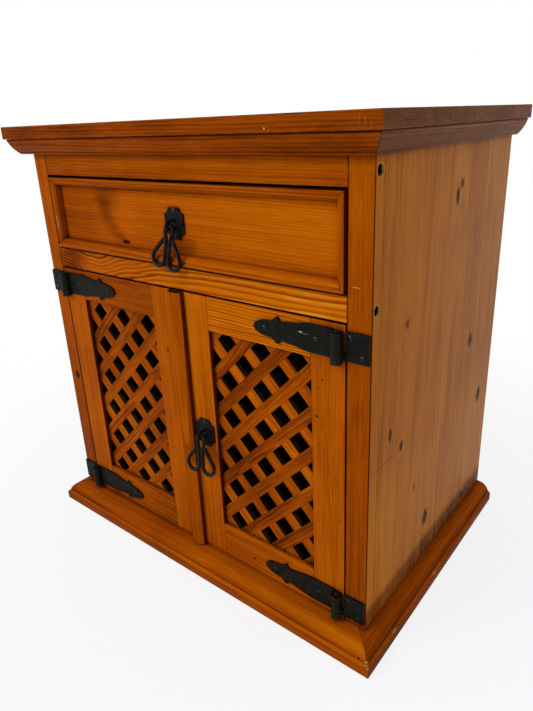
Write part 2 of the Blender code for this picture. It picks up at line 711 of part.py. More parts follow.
def add_door(side, sign):
    body = side + "_door"
    astragal_edge = ASTRAGAL_X - ASTRAGAL_WIDTH / 2
    meeting = astragal_edge if side == "right" else astragal_edge - DOOR_MEETING_GAP
    outer_edge = sign * DOOR_HALF
    opening_outer = outer_edge - sign * DOOR_HINGE_STILE
    opening_inner = sign * DOOR_OPENING_INNER_EDGE
    door_top = DOOR_Z + DOOR_HEIGHT
    front_y, back_y = FACE_Y, FACE_Y + DOOR_THICKNESS
    opening_low, opening_high = DOOR_Z + DOOR_BOTTOM_RAIL, door_top - DOOR_TOP_RAIL
    opening_left, opening_right = sorted((opening_outer, opening_inner))
    rebate_y = front_y + LATTICE_SETBACK
    rebate_low = Vector((opening_left - REBATE_WIDTH, rebate_y - SEAT, opening_low - REBATE_WIDTH))
    rebate_high = Vector((opening_right + REBATE_WIDTH, back_y + CUT_PAST, opening_high + REBATE_WIDTH))
    rebate = add_cutter(
        body + "_rebate",
        box_mesh(body + "_rebate", rebate_high - rebate_low),
        Matrix.Translation((rebate_low + rebate_high) / 2),
    )
    stiles = {"hinge_stile": (opening_outer, outer_edge), "lock_stile": (opening_inner, meeting)}
    members = []
    for stile, edges in stiles.items():
        near, far = sorted(edges)
        members.append(board(f"{body}_{stile}", body, (near, front_y, DOOR_Z), (far, back_y, door_top)))
    left, right = opening_left + SEAT, opening_right - SEAT
    rails = {"top_rail": (opening_high, door_top), "bottom_rail": (DOOR_Z, opening_low)}
    for rail, (low, high) in rails.items():
        members.append(board(f"{body}_{rail}", body, (left, front_y, low), (right, back_y, high)))
    for member in members:
        apply_boolean(member, "DIFFERENCE", rebate)
    fit = REBATE_WIDTH - SEAT
    add_lattice(
        side,
        (opening_left - fit, opening_low - fit),
        (opening_right + fit, opening_high + fit),
        rebate_y,
    )


def add_astragal():
    """The round-fronted strip that covers the joint between the doors, on the right door."""
    half = ASTRAGAL_WIDTH / 2
    crown = ASTRAGAL_PROUD - ASTRAGAL_EDGE
    section = [(half, SEAT)] + arc((0, ASTRAGAL_EDGE), half, crown, 0, 180, 2 * ARC_STEPS) + [(-half, SEAT)]
    mesh = outline_mesh("astragal", section, DOOR_HEIGHT)
    place = (ASTRAGAL_X, FACE_Y, DOOR_Z + DOOR_HEIGHT / 2)
    add_part("astragal", mesh, "right_door", "pine", placing((1, 0, 0), FORWARD, place))


def strap_outline():
    """The strap's outline: along from the hinge axis and up from its middle line."""
    root = BARREL_RADIUS + BARREL_GAP
    barb_rise = STRAP_BARB_HALF - STRAP_BARB_RADIUS
    upper = [(root, STRAP_HALF_HEIGHT), (STRAP_SHOULDER, STRAP_HALF_HEIGHT), (STRAP_NECK, STRAP_NECK_HALF)]
    upper += arc((STRAP_BARB, barb_rise), STRAP_BARB_RADIUS, STRAP_BARB_RADIUS, 170, 30, 3)
    tip = arc((STRAP_TIP_START, 0), STRAP_LENGTH - STRAP_TIP_START, STRAP_TIP_HALF, 90, 0)
    return mirrored(upper + tip[:-1] + [(STRAP_LENGTH, 0)])


def knuckle(name, axis, low, high):
    place = Matrix.Translation((axis.x, axis.y, (low + high) / 2))
    return add_cutter(name, rod_mesh(name, BARREL_RADIUS, high - low, ROUND_STEPS), place)


def bore(name, axis, low, high, radius):
    place = Matrix.Translation((axis.x, axis.y, (low + high) / 2))
    return add_cutter(name, rod_mesh(name, radius, high - low + 2 * CUT_PAST, ROUND_STEPS), place)


def add_hinge(level, side, sign, height):
    """A strap with its knuckle on the door, and a leaf with its knuckle and pin on the stile."""
    prefix = f"{level}_{side}_hinge"
    inwards, outwards = Vector((-sign, 0, 0)), Vector((sign, 0, 0))
    axis = Vector((sign * HINGE_X, HINGE_Y, height))
    plate_y = FACE_Y - SEAT - HINGE_PLATE / 2
    add_strap(prefix + "_strap", side, inwards, axis, plate_y)
    add_leaf(prefix + "_leaf", outwards, axis, plate_y)
    pin_low = height + STRAP_KNUCKLE_BOTTOM - SEAT - LEAF_KNUCKLE_HEIGHT
    pin_top = height + STRAP_KNUCKLE_TOP + PIN_PROUD
    profile = [
        (0, pin_top),
        (PIN_RADIUS - PIN_CHAMFER, pin_top),
        (PIN_RADIUS, pin_top - PIN_CHAMFER),
        (PIN_RADIUS, pin_low),
        (0, pin_low),
    ]
    turned(prefix + "_pin", "carcass", "iron", profile, Matrix.Translation((axis.x, axis.y, 0)))


def add_strap(name, side, inwards, axis, plate_y):
    mesh = outline_mesh(name, strap_outline(), HINGE_PLATE)
    place = (axis.x, plate_y, axis.z)
    strap = add_part(name, mesh, side + "_door", "iron", placing(inwards, UP, place))
    low, high = axis.z + STRAP_KNUCKLE_BOTTOM, axis.z + STRAP_KNUCKLE_TOP
    root_size = (2 * BARREL_RADIUS, HINGE_PLATE, high - low)
    root_place = Matrix.Translation((axis.x + inwards.x * BARREL_RADIUS, plate_y, (low + high) / 2))
    root = add_cutter(name + "_root", box_mesh(name + "_root", root_size), root_place)
    apply_boolean(strap, "UNION", root)
    apply_boolean(strap, "UNION", knuckle(name + "_knuckle", axis, low, high))
    apply_boolean(strap, "DIFFERENCE", bore(name + "_bore", axis, low, high, PIN_RADIUS + RUNNING))
    for place_name, reach in (("near", STRAP_SCREW_NEAR), ("far", STRAP_SCREW_FAR)):
        start = axis + inwards * reach
        start.y = plate_y - HINGE_PLATE
        screw_hole = hole(f"{name}_{place_name}_hole", start, -FORWARD, 2 * HINGE_PLATE, PLATE_SCREW_RADIUS)
        apply_boolean(strap, "DIFFERENCE", screw_hole)


def add_leaf(name, outwards, axis, plate_y):
    inner, outer = OPENING_HALF + LEAF_DOOR_MARGIN - HINGE_X, HALF_WIDTH - LEAF_EDGE_MARGIN - HINGE_X
    knuckle_top = STRAP_KNUCKLE_BOTTOM - SEAT
    knuckle_low = knuckle_top - LEAF_KNUCKLE_HEIGHT
    neck_low = max(knuckle_low, -STRAP_HALF_HEIGHT)
    outline = [
        (0, neck_low),
        (inner, neck_low),
        (inner, -STRAP_HALF_HEIGHT - SEAT),
        (outer, -STRAP_HALF_HEIGHT - SEAT),
        (outer, STRAP_HALF_HEIGHT),
        (inner, STRAP_HALF_HEIGHT),
        (inner, knuckle_top),
        (0, knuckle_top),
    ]
    mesh = outline_mesh(name, outline, HINGE_PLATE)
    leaf = add_part(name, mesh, "carcass", "iron", placing(outwards, UP, (axis.x, plate_y, axis.z)))
    low, high = axis.z + knuckle_low, axis.z + knuckle_top
    apply_boolean(leaf, "UNION", knuckle(name + "_knuckle", axis, low, high))
    apply_boolean(leaf, "DIFFERENCE", bore(name + "_bore", axis, low, high, PIN_RADIUS + SEAT))
    spots = {
        "upper": (inner + LEAF_SCREW_INSET, LEAF_SCREW_SPREAD),
        "lower": (outer - LEAF_SCREW_OUTSET, -LEAF_SCREW_SPREAD),
    }
    for spot, (reach, rise) in spots.items():
        start = axis + outwards * reach + UP * rise
        start.y = plate_y - HINGE_PLATE
        screw_hole = hole(f"{name}_{spot}_hole", start, -FORWARD, 2 * HINGE_PLATE, PLATE_SCREW_RADIUS)
        apply_boolean(leaf, "DIFFERENCE", screw_hole)


def pull_plate_outline():
    """An oblong with a round notch out of each corner."""
    half_width, half_height = PULL_PLATE_WIDTH / 2, PULL_PLATE_HEIGHT / 2
    points = []
    for x, y, start in ((1, 1, 270), (-1, 1, 360), (-1, -1, 90), (1, -1, 180)):
        centre = (x * half_width, y * half_height)
        points += arc(centre, PULL_NOTCH_RADIUS, PULL_NOTCH_RADIUS, start, start - 90, 4)
    return points


def loop_points(turn):
    """The pull's wire in its own plane, from one tucked end over the top to the other, as (across, up).

    turn is how far the loop hangs askew, clockwise round the middle of its top bend.
    """
    half = arc((0, -LOOP_TOP_RADIUS), LOOP_TOP_RADIUS, LOOP_TOP_RADIUS, 90, 0)
    waist = (LOOP_LEG_HALF, -LOOP_WAIST_DROP)
    for step in range(1, ARC_STEPS):
        share = step / ARC_STEPS
        ease = share * share * (3 - 2 * share)
        half.append(
            (
                LOOP_TOP_RADIUS + (waist[0] - LOOP_TOP_RADIUS) * ease,
                -LOOP_TOP_RADIUS + (waist[1] + LOOP_TOP_RADIUS) * share,
            )
        )
    half.append(waist)
    centre = Vector((LOOP_LEG_HALF + LOOP_RADIUS, LOOP_RADIUS - LOOP_DROP))
    tuck = Vector((LOOP_LEG_HALF + 2 * LOOP_WIRE_RADIUS + LOOP_TUCK_GAP, -LOOP_TUCK_DROP))
    away = tuck - centre
    leave = math.degrees(math.atan2(away.y, away.x) - math.acos(LOOP_RADIUS / away.length))
    half += arc(centre, LOOP_RADIUS, LOOP_RADIUS, 180, 360 + leave, 3 * ARC_STEPS)
    half.append(tuple(tuck))
    hub = Vector((0, -LOOP_TOP_RADIUS))
    askew = Matrix.Rotation(-turn, 2)
    points = [(-x, z) for x, z in reversed(half[1:])] + half
    return [askew @ (Vector(point) - hub) + hub for point in points]


def add_pull(name, carrier, plate_middle):
    """A notched plate, the staple through it and the wire loop that swings in the staple."""
    body = name
    plate = outline_mesh(name + "_plate", pull_plate_outline(), PULL_PLATE_THICKNESS)
    plate_y = plate_middle.y - SEAT - PULL_PLATE_THICKNESS / 2
    place = Vector((plate_middle.x, plate_y, plate_middle.z))
    plate_part = add_part(name + "_plate", plate, carrier, "iron", placing((1, 0, 0), UP, place))
    for spot, rise in (("upper", PULL_SCREW_SPREAD), ("lower", -PULL_SCREW_SPREAD)):
        start = place + UP * rise + FORWARD * PULL_PLATE_THICKNESS
        depth = 2 * PULL_PLATE_THICKNESS
        screw_hole = hole(f"{name}_{spot}_hole", start, -FORWARD, depth, PLATE_SCREW_RADIUS)
        apply_boolean(plate_part, "DIFFERENCE", screw_hole)
    bow = LOOP_WIRE_RADIUS + RUNNING + STAPLE_RADIUS
    root = PULL_STANDOFF - SEAT
    bend = [(0, y, z) for y, z in arc((0, 0), bow, bow, 90, 270, 2 * ARC_STEPS)]
    staple = [(0, root, bow)] + bend + [(0, root, -bow)]
    shift = PIVOTS[body] - PIVOTS[carrier]
    wire(name + "_staple", carrier, "iron", [Vector(point) + shift for point in staple], STAPLE_RADIUS)
    lean = Matrix.Rotation(-LOOP_LEAN, 3, "X")
    loop = [lean @ Vector((x, 0, z)) for x, z in loop_points(LOOP_TURNS[name])]
    wire(name + "_loop", body, "iron", loop, LOOP_WIRE_RADIUS)


def main():
    add_carcass_boards()
    add_face_frame()
    add_mitred_mouldings("crown", crown_outline, CROWN_FRONT_EXTRA, 0, TOP_Z - CROWN_HEIGHT)
    add_mitred_mouldings("base", base_outline, BASE_FRONT_EXTRA, -BASE_UNDERLAP, 0)
    add_runners()
    add_drawer()
    for side, sign in SIDES.items():
        add_door(side, sign)
        add_hinge("upper", side, sign, DOOR_Z + DOOR_HEIGHT - HINGE_DROP)
        add_hinge("lower", side, sign, DOOR_Z + HINGE_RISE)
    add_astragal()
    add_pull("drawer_pull", "drawer", Vector((0, PANEL_FACE_Y, DRAWER_PLATE_Z)))
    add_pull("door_pull", "right_door", Vector((DOOR_PULL_X, FACE_Y, DOOR_PLATE_Z)))


clear_scene()
PARTS = new_collection("sideboard")
CUTTERS = new_collection("cutters")
EMPTIES = add_pivots()
main()
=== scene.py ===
"""The looks of a small pine sideboard: grain, knots, varnish, rubbed edges and nicks, painted light and shade, forged
ironwork and a plain studio.
"""

import json
import math
import random

import bmesh
import bpy
from mathutils import Matrix, Vector

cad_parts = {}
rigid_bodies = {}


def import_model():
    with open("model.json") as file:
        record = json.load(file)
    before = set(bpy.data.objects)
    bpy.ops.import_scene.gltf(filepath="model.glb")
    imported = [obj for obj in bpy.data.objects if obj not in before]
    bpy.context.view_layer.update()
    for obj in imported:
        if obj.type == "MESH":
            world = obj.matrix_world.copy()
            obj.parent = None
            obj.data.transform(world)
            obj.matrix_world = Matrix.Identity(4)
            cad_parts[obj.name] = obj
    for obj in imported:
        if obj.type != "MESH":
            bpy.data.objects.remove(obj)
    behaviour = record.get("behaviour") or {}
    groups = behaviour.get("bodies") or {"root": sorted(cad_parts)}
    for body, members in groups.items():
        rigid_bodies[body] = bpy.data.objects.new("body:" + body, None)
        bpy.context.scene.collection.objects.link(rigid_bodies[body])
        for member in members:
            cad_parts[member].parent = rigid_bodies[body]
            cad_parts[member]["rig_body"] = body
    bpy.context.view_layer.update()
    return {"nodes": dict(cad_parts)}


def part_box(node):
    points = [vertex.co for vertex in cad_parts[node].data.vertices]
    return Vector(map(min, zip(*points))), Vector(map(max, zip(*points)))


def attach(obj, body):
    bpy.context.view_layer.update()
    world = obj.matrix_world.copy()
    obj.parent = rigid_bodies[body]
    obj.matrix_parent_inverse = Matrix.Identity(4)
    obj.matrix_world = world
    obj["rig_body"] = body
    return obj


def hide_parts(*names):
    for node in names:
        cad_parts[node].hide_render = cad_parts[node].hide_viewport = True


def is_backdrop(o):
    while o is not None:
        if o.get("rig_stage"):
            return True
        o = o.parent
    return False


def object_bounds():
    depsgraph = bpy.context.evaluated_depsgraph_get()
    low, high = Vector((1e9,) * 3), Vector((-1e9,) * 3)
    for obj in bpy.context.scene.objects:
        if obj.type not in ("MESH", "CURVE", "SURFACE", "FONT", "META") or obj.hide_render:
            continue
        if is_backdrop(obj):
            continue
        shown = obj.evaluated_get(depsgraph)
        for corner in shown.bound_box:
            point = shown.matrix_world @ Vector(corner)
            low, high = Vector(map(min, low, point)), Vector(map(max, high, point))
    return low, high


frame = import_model()

# Where the camera stood, fitted to the straight edges in the photograph
PHOTO_WIDTH = 533
PHOTO_HEIGHT = 711
CAMERA_PLACE = Vector((0.5752, -0.6982, 0.6662))
CAMERA_AZIMUTH = math.radians(39.12)
CAMERA_ELEVATION = math.radians(20.48)
CAMERA_ROLL = math.radians(-2.470)
CAMERA_FOCAL_PIXELS = 575.96
CAMERA_AXIS_PIXELS = (3.15, -20.86)
SENSOR_WIDTH = 36.0

# Places on the cabinet, in metres
FACE_Y = -0.188
SLAB_FACE_Y = -0.221
PANEL_FACE_Y = -0.178
SIDE_X = 0.300
HINGE_X = 0.2598
BORE_RADIUS = 0.0068
BORE_DEPTH = 0.011
BORE_EASE = 0.0003
BORE_SHARE = 0.3
HINGE_Y = -0.1951
BARREL_LINES = 2 * math.pi / 0.0026
HINGE_HEIGHTS = (0.4295, 0.061)
KNUCKLE_RISE = 0.0037
KNUCKLE_HALF = 0.0128
IRON_FACE_Y = -0.1913
DRAWER_PLATE_FACE_Y = -0.1808
DOOR_PLATE_FACE_Y = -0.1908
DRAWER_PULL_PIVOT = Vector((0.0, -0.1898, 0.5417))
DOOR_PULL_PIVOT = Vector((0.0337, -0.1998, 0.2435))
PLATE_ABOVE_PIVOT = 0.001

# Copies of the CAD nodes
WELD = 1e-6
SLIVER = 2e-4
FLAT = math.radians(0.5)
SHARP = math.radians(35)
SMOOTH = math.radians(50)
END_GRAIN_SHARE = 0.75
CORNER_SHARE = 0.85
STEEP_SHARE = 0.93
SLOPE_SHARE = 0.45
MITRE_SHARE = 0.6
EASING_STEPS = 2
PAINTED_SHEEN_GREYNESS = 2
DOOR_WEAR = 0.15
LONG_CORNER = 0.004
IRON_EASING = 0.0003
FLANK_SHARE = 0.5

# Lattice slats
SLAT_WIDTH = 0.0175
SLAT_THICKNESS = 0.0085
SLAT_PITCH = 0.0406
SLAT_EDGE = 0.0006
SLAT_LAP_STEP = 0.0002
SLAT_STAINS = {("right", "rising", 2): -0.22}
SLAT_TONES = {"rising": (-0.24, -0.06), "falling": (-0.08, 0.07)}
# Painted shade on each lattice, darker towards the bottom, most on the right door
LATTICE_HEIGHT_SHADES = {"left": (-0.06, -0.03), "right": (-0.08, 0.02)}
LATTICE_SHIFTS = {"left": (-0.0039, -0.0016), "right": (0.0, 0.0011)}

# Wire pulls
WIRE_RADIUS = 0.0029
STAPLE_RADIUS = 0.002
STAPLE_BOW = 0.0053
STAPLE_ROOT = 0.0087
LOOP_TOP_RADIUS = 0.007
LOOP_LEG_HALF = 0.0036
LOOP_WAIST_DROP = 0.024
LOOP_DROP = 0.057
LOOP_RADIUS = 0.0112
LOOP_TUCK_DROP = 0.021
LOOP_TUCK_GAP = 0.0005
LOOP_LEAN = math.radians(7.75)
LOOP_TURNS = {"drawer_pull": math.radians(7.5), "door_pull": math.radians(-2.5)}
LOOP_END = ((-0.0006, 0.0012), (-0.0008, 0.0025), (-0.0007, 0.0040))
BEND_STEPS = 14

# Cross-recess screws
SCREW_RADIUS = 0.0031
SCREW_DOME = 0.0011
SCREW_RECESS = 0.0009
STRAP_SCREWS = (0.0305, 0.1055)
LEAF_SCREWS = ((0.2745, 0.0108), (0.2900, -0.0108))
PLATE_SCREW_SPREAD = 0.0165

# Wood tones from dark to light, as the share along the ramp and the colour
VARNISHED = (
    (0.00, (0.050, 0.0080, 0.0005)),
    (0.22, (0.165, 0.0290, 0.0006)),
    (0.45, (0.315, 0.0590, 0.0008)),
    (0.65, (0.440, 0.0980, 0.0010)),
    (0.85, (0.560, 0.1500, 0.0020)),
    (1.00, (0.680, 0.2500, 0.0200)),
)
SIDE_TONES = (
    (0.00, (0.085, 0.0210, 0.0025)),
    (0.25, (0.235, 0.0630, 0.0050)),
    (0.50, (0.390, 0.1150, 0.0080)),
    (0.75, (0.510, 0.1750, 0.0130)),
    (1.00, (0.640, 0.2900, 0.0400)),
)
RAW_TONES = (
    (0.00, (0.210, 0.0950, 0.0300)),
    (0.40, (0.430, 0.2350, 0.0900)),
    (0.70, (0.580, 0.3700, 0.1700)),
    (1.00, (0.700, 0.5000, 0.2800)),
)
PLY_TONES = (
    (0.00, (0.060, 0.0230, 0.0070)),
    (0.40, (0.150, 0.0640, 0.0200)),
    (0.70, (0.220, 0.1050, 0.0370)),
    (1.00, (0.300, 0.1600, 0.0650)),
)
# Painted shade: near black for the inside of the cabinet and the walls of the screw bores
INTERIOR_SHADE_TONES = (
    (0.00, (0.0020, 0.0010, 0.0006)),
    (0.50, (0.0080, 0.0036, 0.0016)),
    (1.00, (0.0200, 0.0090, 0.0035)),
)
# Painted shade for the slats' side walls inside the lattice openings
SLAT_FLANK_SHADE_TONES = (
    (0.00, (0.0010, 0.0007, 0.0003)),
    (0.50, (0.0180, 0.0110, 0.0036)),
    (1.00, (0.0800, 0.0530, 0.0200)),
)
# Painted shade: dark tones for faces in the gaps between parts, under rails and beside the openings
GAP_SHADE_TONES = (
    (0.00, (0.0100, 0.0012, 0.0004)),
    (0.30, (0.0450, 0.0060, 0.0012)),
    (0.60, (0.1000, 0.0150, 0.0022)),
    (1.00, (0.2000, 0.0400, 0.0040)),
)
# Grey-brown for the crown sides and the slab's ends: painted shade and a painted grey reflection, with darker end grain
# on the slab's ends
SHADE_AND_SHEEN_TONES = (
    (0.00, (0.0350, 0.0100, 0.0035)),
    (0.35, (0.0900, 0.0270, 0.0090)),
    (0.65, (0.1600, 0.0530, 0.0170)),
    (1.00, (0.3100, 0.1400, 0.0600)),
)
KNOT_COLOUR = (0.010, 0.0060, 0.0040, 1)
# For nail marks and for the painted shadow line under the drawer
HOLE_AND_SHADOW_COLOUR = (0.012, 0.0040, 0.0010, 1)
BARE_COLOUR = (0.620, 0.4000, 0.2000, 1)
WORN_COLOUR = (0.560, 0.2100, 0.0350, 1)
RIM_COLOUR = (0.560, 0.3000, 0.0700, 1)
RIM_DEPTH = 0.0055


class Finish:
    """A material whose nodes are made by short calls, each giving back the socket to use next."""

    def __init__(self, name):
        self.material = bpy.data.materials.new(name)
        self.material.use_nodes = True
        self.tree = self.material.node_tree
        self.tree.nodes.clear()

    def add(self, kind, inputs=(), **settings):
        node = self.tree.nodes.new(kind)
        for name, value in settings.items():
            setattr(node, name, value)
        for key, value in dict(inputs).items():
            self.feed(node.inputs[key], value)
        return node

    def feed(self, socket, value):
        if isinstance(value, bpy.types.NodeSocket):
            self.tree.links.new(value, socket)
        else:
            socket.default_value = value

    def attribute(self, name, output="Vector"):
        return self.add("ShaderNodeAttribute", attribute_name=name).outputs[output]

    def place(self):
        return self.add("ShaderNodeTexCoord").outputs["Object"]

    def split(self, vector):
        return self.add("ShaderNodeSeparateXYZ", {0: vector}).outputs

    def join(self, x, y, z):
        return self.add("ShaderNodeCombineXYZ", {0: x, 1: y, 2: z}).outputs[0]

    def sum(self, operation, *values, clamp=False):
        inputs = dict(enumerate(values))
        return self.add("ShaderNodeMath", inputs, operation=operation, use_clamp=clamp).outputs[0]

    def plus(self, first, *others):
        for other in others:
            first = self.sum("ADD", first, other)
        return first

    def times(self, first, second):
        return self.sum("MULTIPLY", first, second)

    def sway(self, share, amount):
        """A noise share made to swing by the amount to either side of nothing."""
        return self.sum("MULTIPLY_ADD", share, 2 * amount, -amount)

    def vector(self, operation, *values):
        return self.add("ShaderNodeVectorMath", dict(enumerate(values)), operation=operation).outputs

    def stretched(self, vector, scale):
        return self.vector("MULTIPLY", vector, scale)[0]

    def noise(self, vector, scale, detail=2.0, roughness=0.5):
        inputs = {"Vector": vector, "Scale": scale, "Detail": detail, "Roughness": roughness}
        return self.add("ShaderNodeTexNoise", inputs).outputs[0]

    def chance(self, number):
        return self.add("ShaderNodeTexWhiteNoise", {"W": number}, noise_dimensions="1D").outputs

    def rise(self, value, low, high):
        """Nothing below low, one above high, and a smooth rise between."""
        inputs = {"Value": value, "From Min": low, "From Max": high}
        return self.add("ShaderNodeMapRange", inputs, interpolation_type="SMOOTHSTEP").outputs[0]

    def openness(self, distance):
        """One on open faces, falling towards nothing deep in a crease."""
        return self.add("ShaderNodeAmbientOcclusion", {"Distance": distance}, samples=6).outputs["AO"]

    def fall(self, value, low, high):
        return self.sum("SUBTRACT", 1.0, self.rise(value, low, high))

    def blend(self, share, first, second):
        node = self.add("ShaderNodeMix", data_type="RGBA")
        for index, value in ((0, share), (6, first), (7, second)):
            self.feed(node.inputs[index], value)
        return node.outputs[2]

    def ramp(self, share, tones):
        node = self.add("ShaderNodeValToRGB", {0: share})
        stops = node.color_ramp.elements
        stops[0].position, stops[1].position = tones[0][0], tones[-1][0]
        for position, _ in tones[1:-1]:
            stops.new(position)
        for stop, (_, colour) in zip(stops, tones):
            stop.color = (*colour, 1)
        return node.outputs[0]

    def finish(self, inputs):
        shader = self.add("ShaderNodeBsdfPrincipled", inputs)
        self.add("ShaderNodeOutputMaterial", {"Surface": shader.outputs[0]})
        return self.material


def spot_distance(finish, place, centre, size):
    """How far a point is from a spot's middle, as a share of the spot's half-sizes."""
    away = finish.vector("SUBTRACT", place, centre)[0]
    share = finish.stretched(away, [1 / half for half in size])
    return finish.vector("LENGTH", share)["Value"]


def pine(name, tones, marks=None, stave=0.0, ring=0.0042, fibres=1.0, streaks=1.0, base=0.6, crease_shade=0.5, even=False,
         **sockets):
    """Pine with its growth rings, fibres, knots, rubbed edges and varnish, laid along each piece's own grain, with
    painted shade in creases and painted light and shade from its marks.
    """
    f = Finish(name)
    marks = marks or {}
    knots, holes_and_shadows, nicks = (marks.get(kind, ()) for kind in ("knots", "holes_and_shadows", "nicks"))
    rims, bands = (marks.get(kind, ()) for kind in ("rims", "bands"))
    place = f.place()
    grain = f.attribute("grain")
    tone, bold, grey = f.split(f.attribute("cast"))
    if even:
        tone = 0.0
    edge = f.attribute("edge_rubbing_and_shade", "Fac")
    edge_rubbing_and_shade = f.sum("MAXIMUM", edge, 0.0)
    # Negative values darken the eased edges: painted shade beside gaps, and a stained line on the stiles' outer corners
    stained_and_shaded_edges = f.sum("MAXIMUM", f.times(edge, -1.0), 0.0)
    cut = f.attribute("cut", "Fac")
    bold = f.plus(bold, f.times(cut, 0.2))
    across, deep, along = f.split(grain)
    seam = None
    if stave:
        share = f.sum("DIVIDE", across, stave)
        index = f.sum("FLOOR", share)
        luck = f.split(f.chance(index)["Color"])
        middle = f.times(f.plus(index, 0.5), stave)
        seam = f.rise(f.sum("ABSOLUTE", f.plus(f.sum("SUBTRACT", share, index), -0.5)), 0.488, 0.5)
        across = f.plus(f.sum("SUBTRACT", across, middle), f.sway(luck[0], 0.03))
        deep = f.plus(deep, f.sum("MULTIPLY_ADD", luck[1], 0.05, 0.02))
        along = f.plus(along, f.times(luck[2], 9.0))
        tone = f.plus(tone, f.sway(luck[0], 0.07))
        grain = f.join(across, deep, along)
    long_grain = f.stretched(grain, (1, 1, 0.07))
    wander = f.noise(long_grain, 13.0)
    waver = f.noise(long_grain, 70.0)
    radius = f.vector("LENGTH", f.join(across, deep, 0.0))["Value"]
    radius = f.plus(radius, f.sway(wander, 0.016), f.sway(waver, 0.0022), f.times(along, 0.012))
    wave = f.noise(f.stretched(grain, (1, 1, 0.42)), 21.0, 1.0)
    radius = f.plus(radius, f.times(f.sway(wave, 0.0032), bold))
    dark = None
    ragged = f.noise(place, 260.0)
    for centre, size, pull, strength, shade in knots:
        distance = spot_distance(f, place, centre, size)
        halo = f.fall(distance, 0.4, 3.6)
        radius = f.plus(radius, f.times(f.times(halo, halo), pull))
        uneven = f.plus(distance, f.sway(ragged, 0.5))
        core = f.times(f.fall(uneven, 0.70, 1.20), strength)
        tone = f.plus(tone, f.times(f.times(halo, halo), -shade), f.times(f.fall(uneven, 0.9, 1.9), -0.42 * strength))
        dark = core if dark is None else f.sum("MAXIMUM", dark, core)
    count = f.sum("DIVIDE", radius, ring)
    early = f.sum("FRACT", count)
    late = f.times(f.rise(early, 0.2, 0.86), f.fall(early, 0.90, 1.0))
    luck = f.chance(f.sum("FLOOR", count))["Value"]
    rings = f.times(f.times(late, f.sum("MULTIPLY_ADD", luck, 0.65, 0.35)), bold)
    fibre = f.noise(f.stretched(grain, (1, 1, 0.018)), 560.0, 3.0, 0.6)
    streak = f.noise(f.stretched(grain, (1, 1, 0.03)), 105.0)
    cloud = f.noise(place, 9.0)
    speck = f.rise(f.noise(f.stretched(grain, (1, 1, 0.14)), 620.0, 1.0), 0.66, 0.76)
    fleck = f.noise(f.stretched(grain, (1, 1, 0.09)), 430.0, 2.0, 0.6)
    value = f.plus(base, tone, f.sway(fibre, 0.15 * fibres), f.sway(fleck, 0.14 * fibres))
    value = f.plus(value, f.sway(streak, 0.20 * streaks), f.sway(cloud, 0.16 * streaks))
    value = f.plus(value, f.times(rings, -0.46), f.times(speck, -0.10), f.times(cut, -0.20))
    # Painted shade: darker in creases and corners where surfaces close in
    crease = f.fall(f.openness(0.014), 0.15, 0.85)
    value = f.plus(value, f.times(crease, -crease_shade), f.times(stained_and_shaded_edges, -0.40))
    if seam is not None:
        value = f.plus(value, f.times(seam, -0.12))
    height = f.split(place)[2]
    # Bands across heights lighten or darken the wood: painted light and shade on the crown, the base and low on the
    # sides
    for middle, half, amount in bands:
        away = f.sum("ABSOLUTE", f.plus(height, -middle))
        value = f.plus(value, f.times(f.fall(away, 0.4 * half, half), amount))
    colour = f.ramp(value, tones)
    paled = f.times(edge_rubbing_and_shade, f.rise(f.noise(place, 55.0), 0.40, 0.66))
    colour = f.blend(f.times(paled, 0.75), colour, WORN_COLOUR)
    if dark is not None:
        colour = f.blend(dark, colour, KNOT_COLOUR)
    # Dark spots: nail marks, and the painted shadow line under the drawer
    for centre, size in holes_and_shadows:
        hole_and_shadow = f.fall(spot_distance(f, place, centre, size), 0.6, 1.2)
        colour = f.blend(hole_and_shadow, colour, HOLE_AND_SHADOW_COLOUR)
    for centre, half in rims:
        distance = spot_distance(f, place, centre, (RIM_DEPTH, half, half))
        rim = f.times(f.rise(distance, 0.94, 1.0), f.fall(f.plus(distance, f.sway(ragged, 0.15)), 1.04, 1.17))
        colour = f.blend(f.times(rim, 0.9), colour, RIM_COLOUR)
    for centre, size, strength in nicks:
        distance = spot_distance(f, place, centre, size)
        nick = f.fall(f.plus(distance, f.sway(ragged, 0.8)), 0.6, 1.1)
        colour = f.blend(f.times(nick, strength), colour, BARE_COLOUR)
    # The painted grey reflection takes colour out of the wood
    calm = f.sum("SUBTRACT", 1.0, grey)
    colour = f.add("ShaderNodeHueSaturation", {"Saturation": calm, "Color": colour}).outputs[0]
    rough = f.plus(sockets.pop("Roughness"), f.sway(fibre, 0.06), f.sway(cloud, 0.10), f.times(paled, 0.15))
    height = f.plus(f.times(fibre, 0.5), f.times(rings, -0.6), f.times(speck, -0.6))
    bump = f.add("ShaderNodeBump", {"Strength": 0.30, "Distance": 0.0004, "Height": height})
    inputs = {"Base Color": colour, "Roughness": rough, "Normal": bump.outputs[0]}
    inputs.update(sockets)
    return f.finish(inputs)


